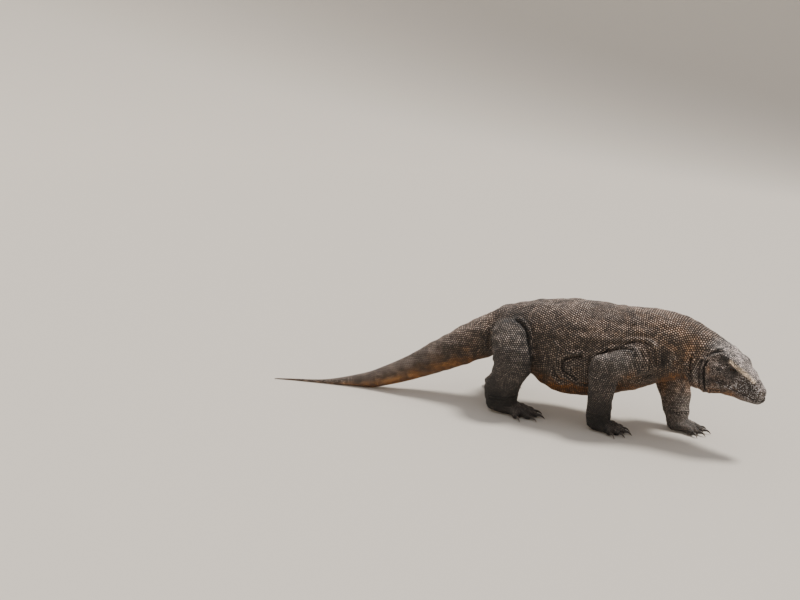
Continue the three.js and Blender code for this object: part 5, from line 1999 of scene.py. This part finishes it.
# %% Fine relief
relief, relief_in, relief_out = new_group("fine relief", [("Grain", "Float", 700.0)], [("Height", "Float")])
position, grain = node(relief, "TexCoord").outputs["Object"], relief_in["Grain"]
cell_size = sum_of(relief, "MULTIPLY", grain, 0.45)
cracks = node(relief, "TexVoronoi", {"Vector": position, "Scale": cell_size}, feature="DISTANCE_TO_EDGE")
furrows = ramp(relief, cracks.outputs["Distance"], 0.0, 0.2, 0.0, 0.6)
feed(relief, relief_out["Height"], sum_of(relief, "ADD", noise(relief, grain), furrows))


def use(tree, group, **values):
    """The outputs of a node group placed in a material, with its own values."""
    return node(tree, "Group", values, node_tree=group).outputs


def new_material(name):
    """A material, its node tree and the inputs of its shader."""
    made = bpy.data.materials.new(name)
    made.use_nodes = True
    return made, made.node_tree, made.node_tree.nodes["Principled BSDF"].inputs


# %% Materials of skin, lids and scales
def hide_material(name, groove, grain, bump, roughness, scales):
    """The hide's colour with its relief. Groove is how dark the rims of scales and the bare skin
    between them are painted, partly their own dark and partly painted shade. Bare skin has no tips, and
    scales read theirs.
    """
    made, tree, shader = new_material(name)
    if scales:
        tip, tone, _ = stored(tree, "scale")
        colours = use(tree, hide, Tip=tip, Tone=tone, Groove=groove)
        roughness = ramp(tree, colours["Wear"], 0, 1, roughness, roughness + 0.14)
    else:
        colours = use(tree, hide, Groove=groove)
    height = use(tree, relief, Grain=grain)["Height"]
    bumps = node(tree, "Bump", {"Strength": bump, "Distance": 0.0005, "Height": height})
    feed(tree, shader["Roughness"], roughness)
    feed(tree, shader["Base Color"], colours["Color"])
    feed(tree, shader["Normal"], bumps.outputs["Normal"])
    return made


# the groove values set how dark bare skin and the rims of scales are painted, partly as shade
skin_data.materials.append(hide_material("bare skin", 0.09, 500.0, 0.7, 0.72, False))
lid_data.materials.append(hide_material("lid skin", 0.55, 1100.0, 0.8, 0.5, False))
scale_finish = hide_material("scales", 0.05, 900.0, 0.5, 0.52, True)
face_finish = hide_material("face scales", 0.1, 1100.0, 0.5, 0.48, True)
for piece in coat_objects:
    piece.data.materials.append(face_finish if piece.name == "coat_head" else scale_finish)

# %% Horn of the claws, and the eyes
horn, tree, shader = new_material("horn")
share, upper, _ = stored(tree, "claw")
streaks = ramp(tree, noise(tree, 420, 4), 0.35, 0.7)
dark = mixed(tree, streaks, (0.012, 0.01, 0.009), (0.035, 0.028, 0.022))
worn = sum_of(tree, "MULTIPLY", ramp(tree, upper, 0.3, 1.0), ramp(tree, share, 0.25, 0.9))
feed(tree, shader["Base Color"], mixed(tree, worn, dark, (0.16, 0.13, 0.105)))
feed(tree, shader["Roughness"], ramp(tree, streaks, 0, 1, 0.26, 0.42))
claw_data.materials.append(horn)

eye_finish, tree, shader = new_material("eye")
gaze = stored(tree, "gaze")[0]
flecks = ramp(tree, noise(tree, 900, 3), 0.3, 0.7)
iris = mixed(tree, flecks, (0.014, 0.006, 0.003), (0.04, 0.018, 0.007))
iris = mixed(tree, ramp(tree, gaze, 0.36, 0.46, 0.4, 0.0), iris, (0.1, 0.05, 0.016))
iris = mixed(tree, ramp(tree, gaze, 0.62, 0.82), iris, (0.018, 0.012, 0.01))
pupil = (0.002, 0.002, 0.002)
feed(tree, shader["Base Color"], mixed(tree, ramp(tree, gaze, 0.36, 0.4), pupil, iris))
for key, value in [("Roughness", 0.3), ("Specular IOR Level", 0.0)]:
    feed(tree, shader[key], value)
for key, value in [("Weight", 1.0), ("IOR", 1.38), ("Roughness", 0.03)]:
    feed(tree, shader["Coat " + key], value)
for piece in eyes.values():
    piece.data.materials.append(eye_finish)
print("materials:", [m.name for m in bpy.data.materials if not m.name.startswith("OF")][:12])

# %% Camera
TURN, RISE, ROLL = math.radians(22), math.radians(15), math.radians(3.5)
back = Vector((math.sin(TURN) * math.cos(RISE), -math.cos(TURN) * math.cos(RISE), math.sin(RISE)))
level = (-back).cross(Vector((0, 0, 1))).normalized()
upright = level.cross(-back)
right = level * math.cos(ROLL) + upright * math.sin(ROLL)
upward = upright * math.cos(ROLL) - level * math.sin(ROLL)
camera_data = bpy.data.cameras.new("camera")
camera_data.lens, camera_data.sensor_width = 50, 36
CAMERA_AT = placed((1537.0, -5748.1, 2146.5))
camera = linked("camera", camera_data)
camera.matrix_world = Matrix.Translation(CAMERA_AT) @ Matrix((right, upward, back)).transposed().to_4x4()
bpy.context.scene.camera = camera

# %% [markdown]
# ## Studio
#
# The floor is a wide pale dish that curves up into a wall all round, so no horizon line shows from
# any side. One broad soft lamp high on the far side stands for the sky, and the world fills in.

# %% Floor and wall in one
arc, around = crossed(np.linspace(0, np.pi / 2, 24), circle(96))
radius, height = 9 + 5 * np.sin(arc), 5 * (1 - np.cos(arc))
dish = np.stack([radius * np.cos(around), radius * np.sin(around), height], -1)
dish = np.concatenate([dish, dish[-1:] + [0, 0, 4.0]])
rings, sides = dish.shape[:2]
quads, fans = grid_faces(rings, sides, close_start=True)
floor_data = mesh_from("floor", np.vstack([dish.reshape(-1, 3), [[0, 0, 0]]]), quads[:, ::-1], fans[:, ::-1])
floor_data.shade_smooth()
floor = linked("floor", floor_data)
floor_finish, tree, shader = new_material("pale floor")
feed(tree, shader["Base Color"], (0.66, 0.61, 0.54))
feed(tree, shader["Roughness"], 0.9)
floor_data.materials.append(floor_finish)
print("floor faces up:", round(floor_data.polygons[-1].normal.z, 2))

# %% Light
sun_data = bpy.data.lights.new("key", "SUN")
sun_data.energy, sun_data.angle, sun_data.color = 3.4, math.radians(14), (1, 0.965, 0.91)
sun = linked("key", sun_data)
sun.matrix_world = Vector((0.28, 0.34, 1.0)).to_track_quat("Z", "Y").to_matrix().to_4x4()
world = bpy.data.worlds.new("studio")
world.use_nodes = True
sky = world.node_tree.nodes["Background"].inputs
feed(world.node_tree, sky["Color"], (0.93, 0.945, 1.0))
feed(world.node_tree, sky["Strength"], 0.7)
bpy.context.scene.world = world
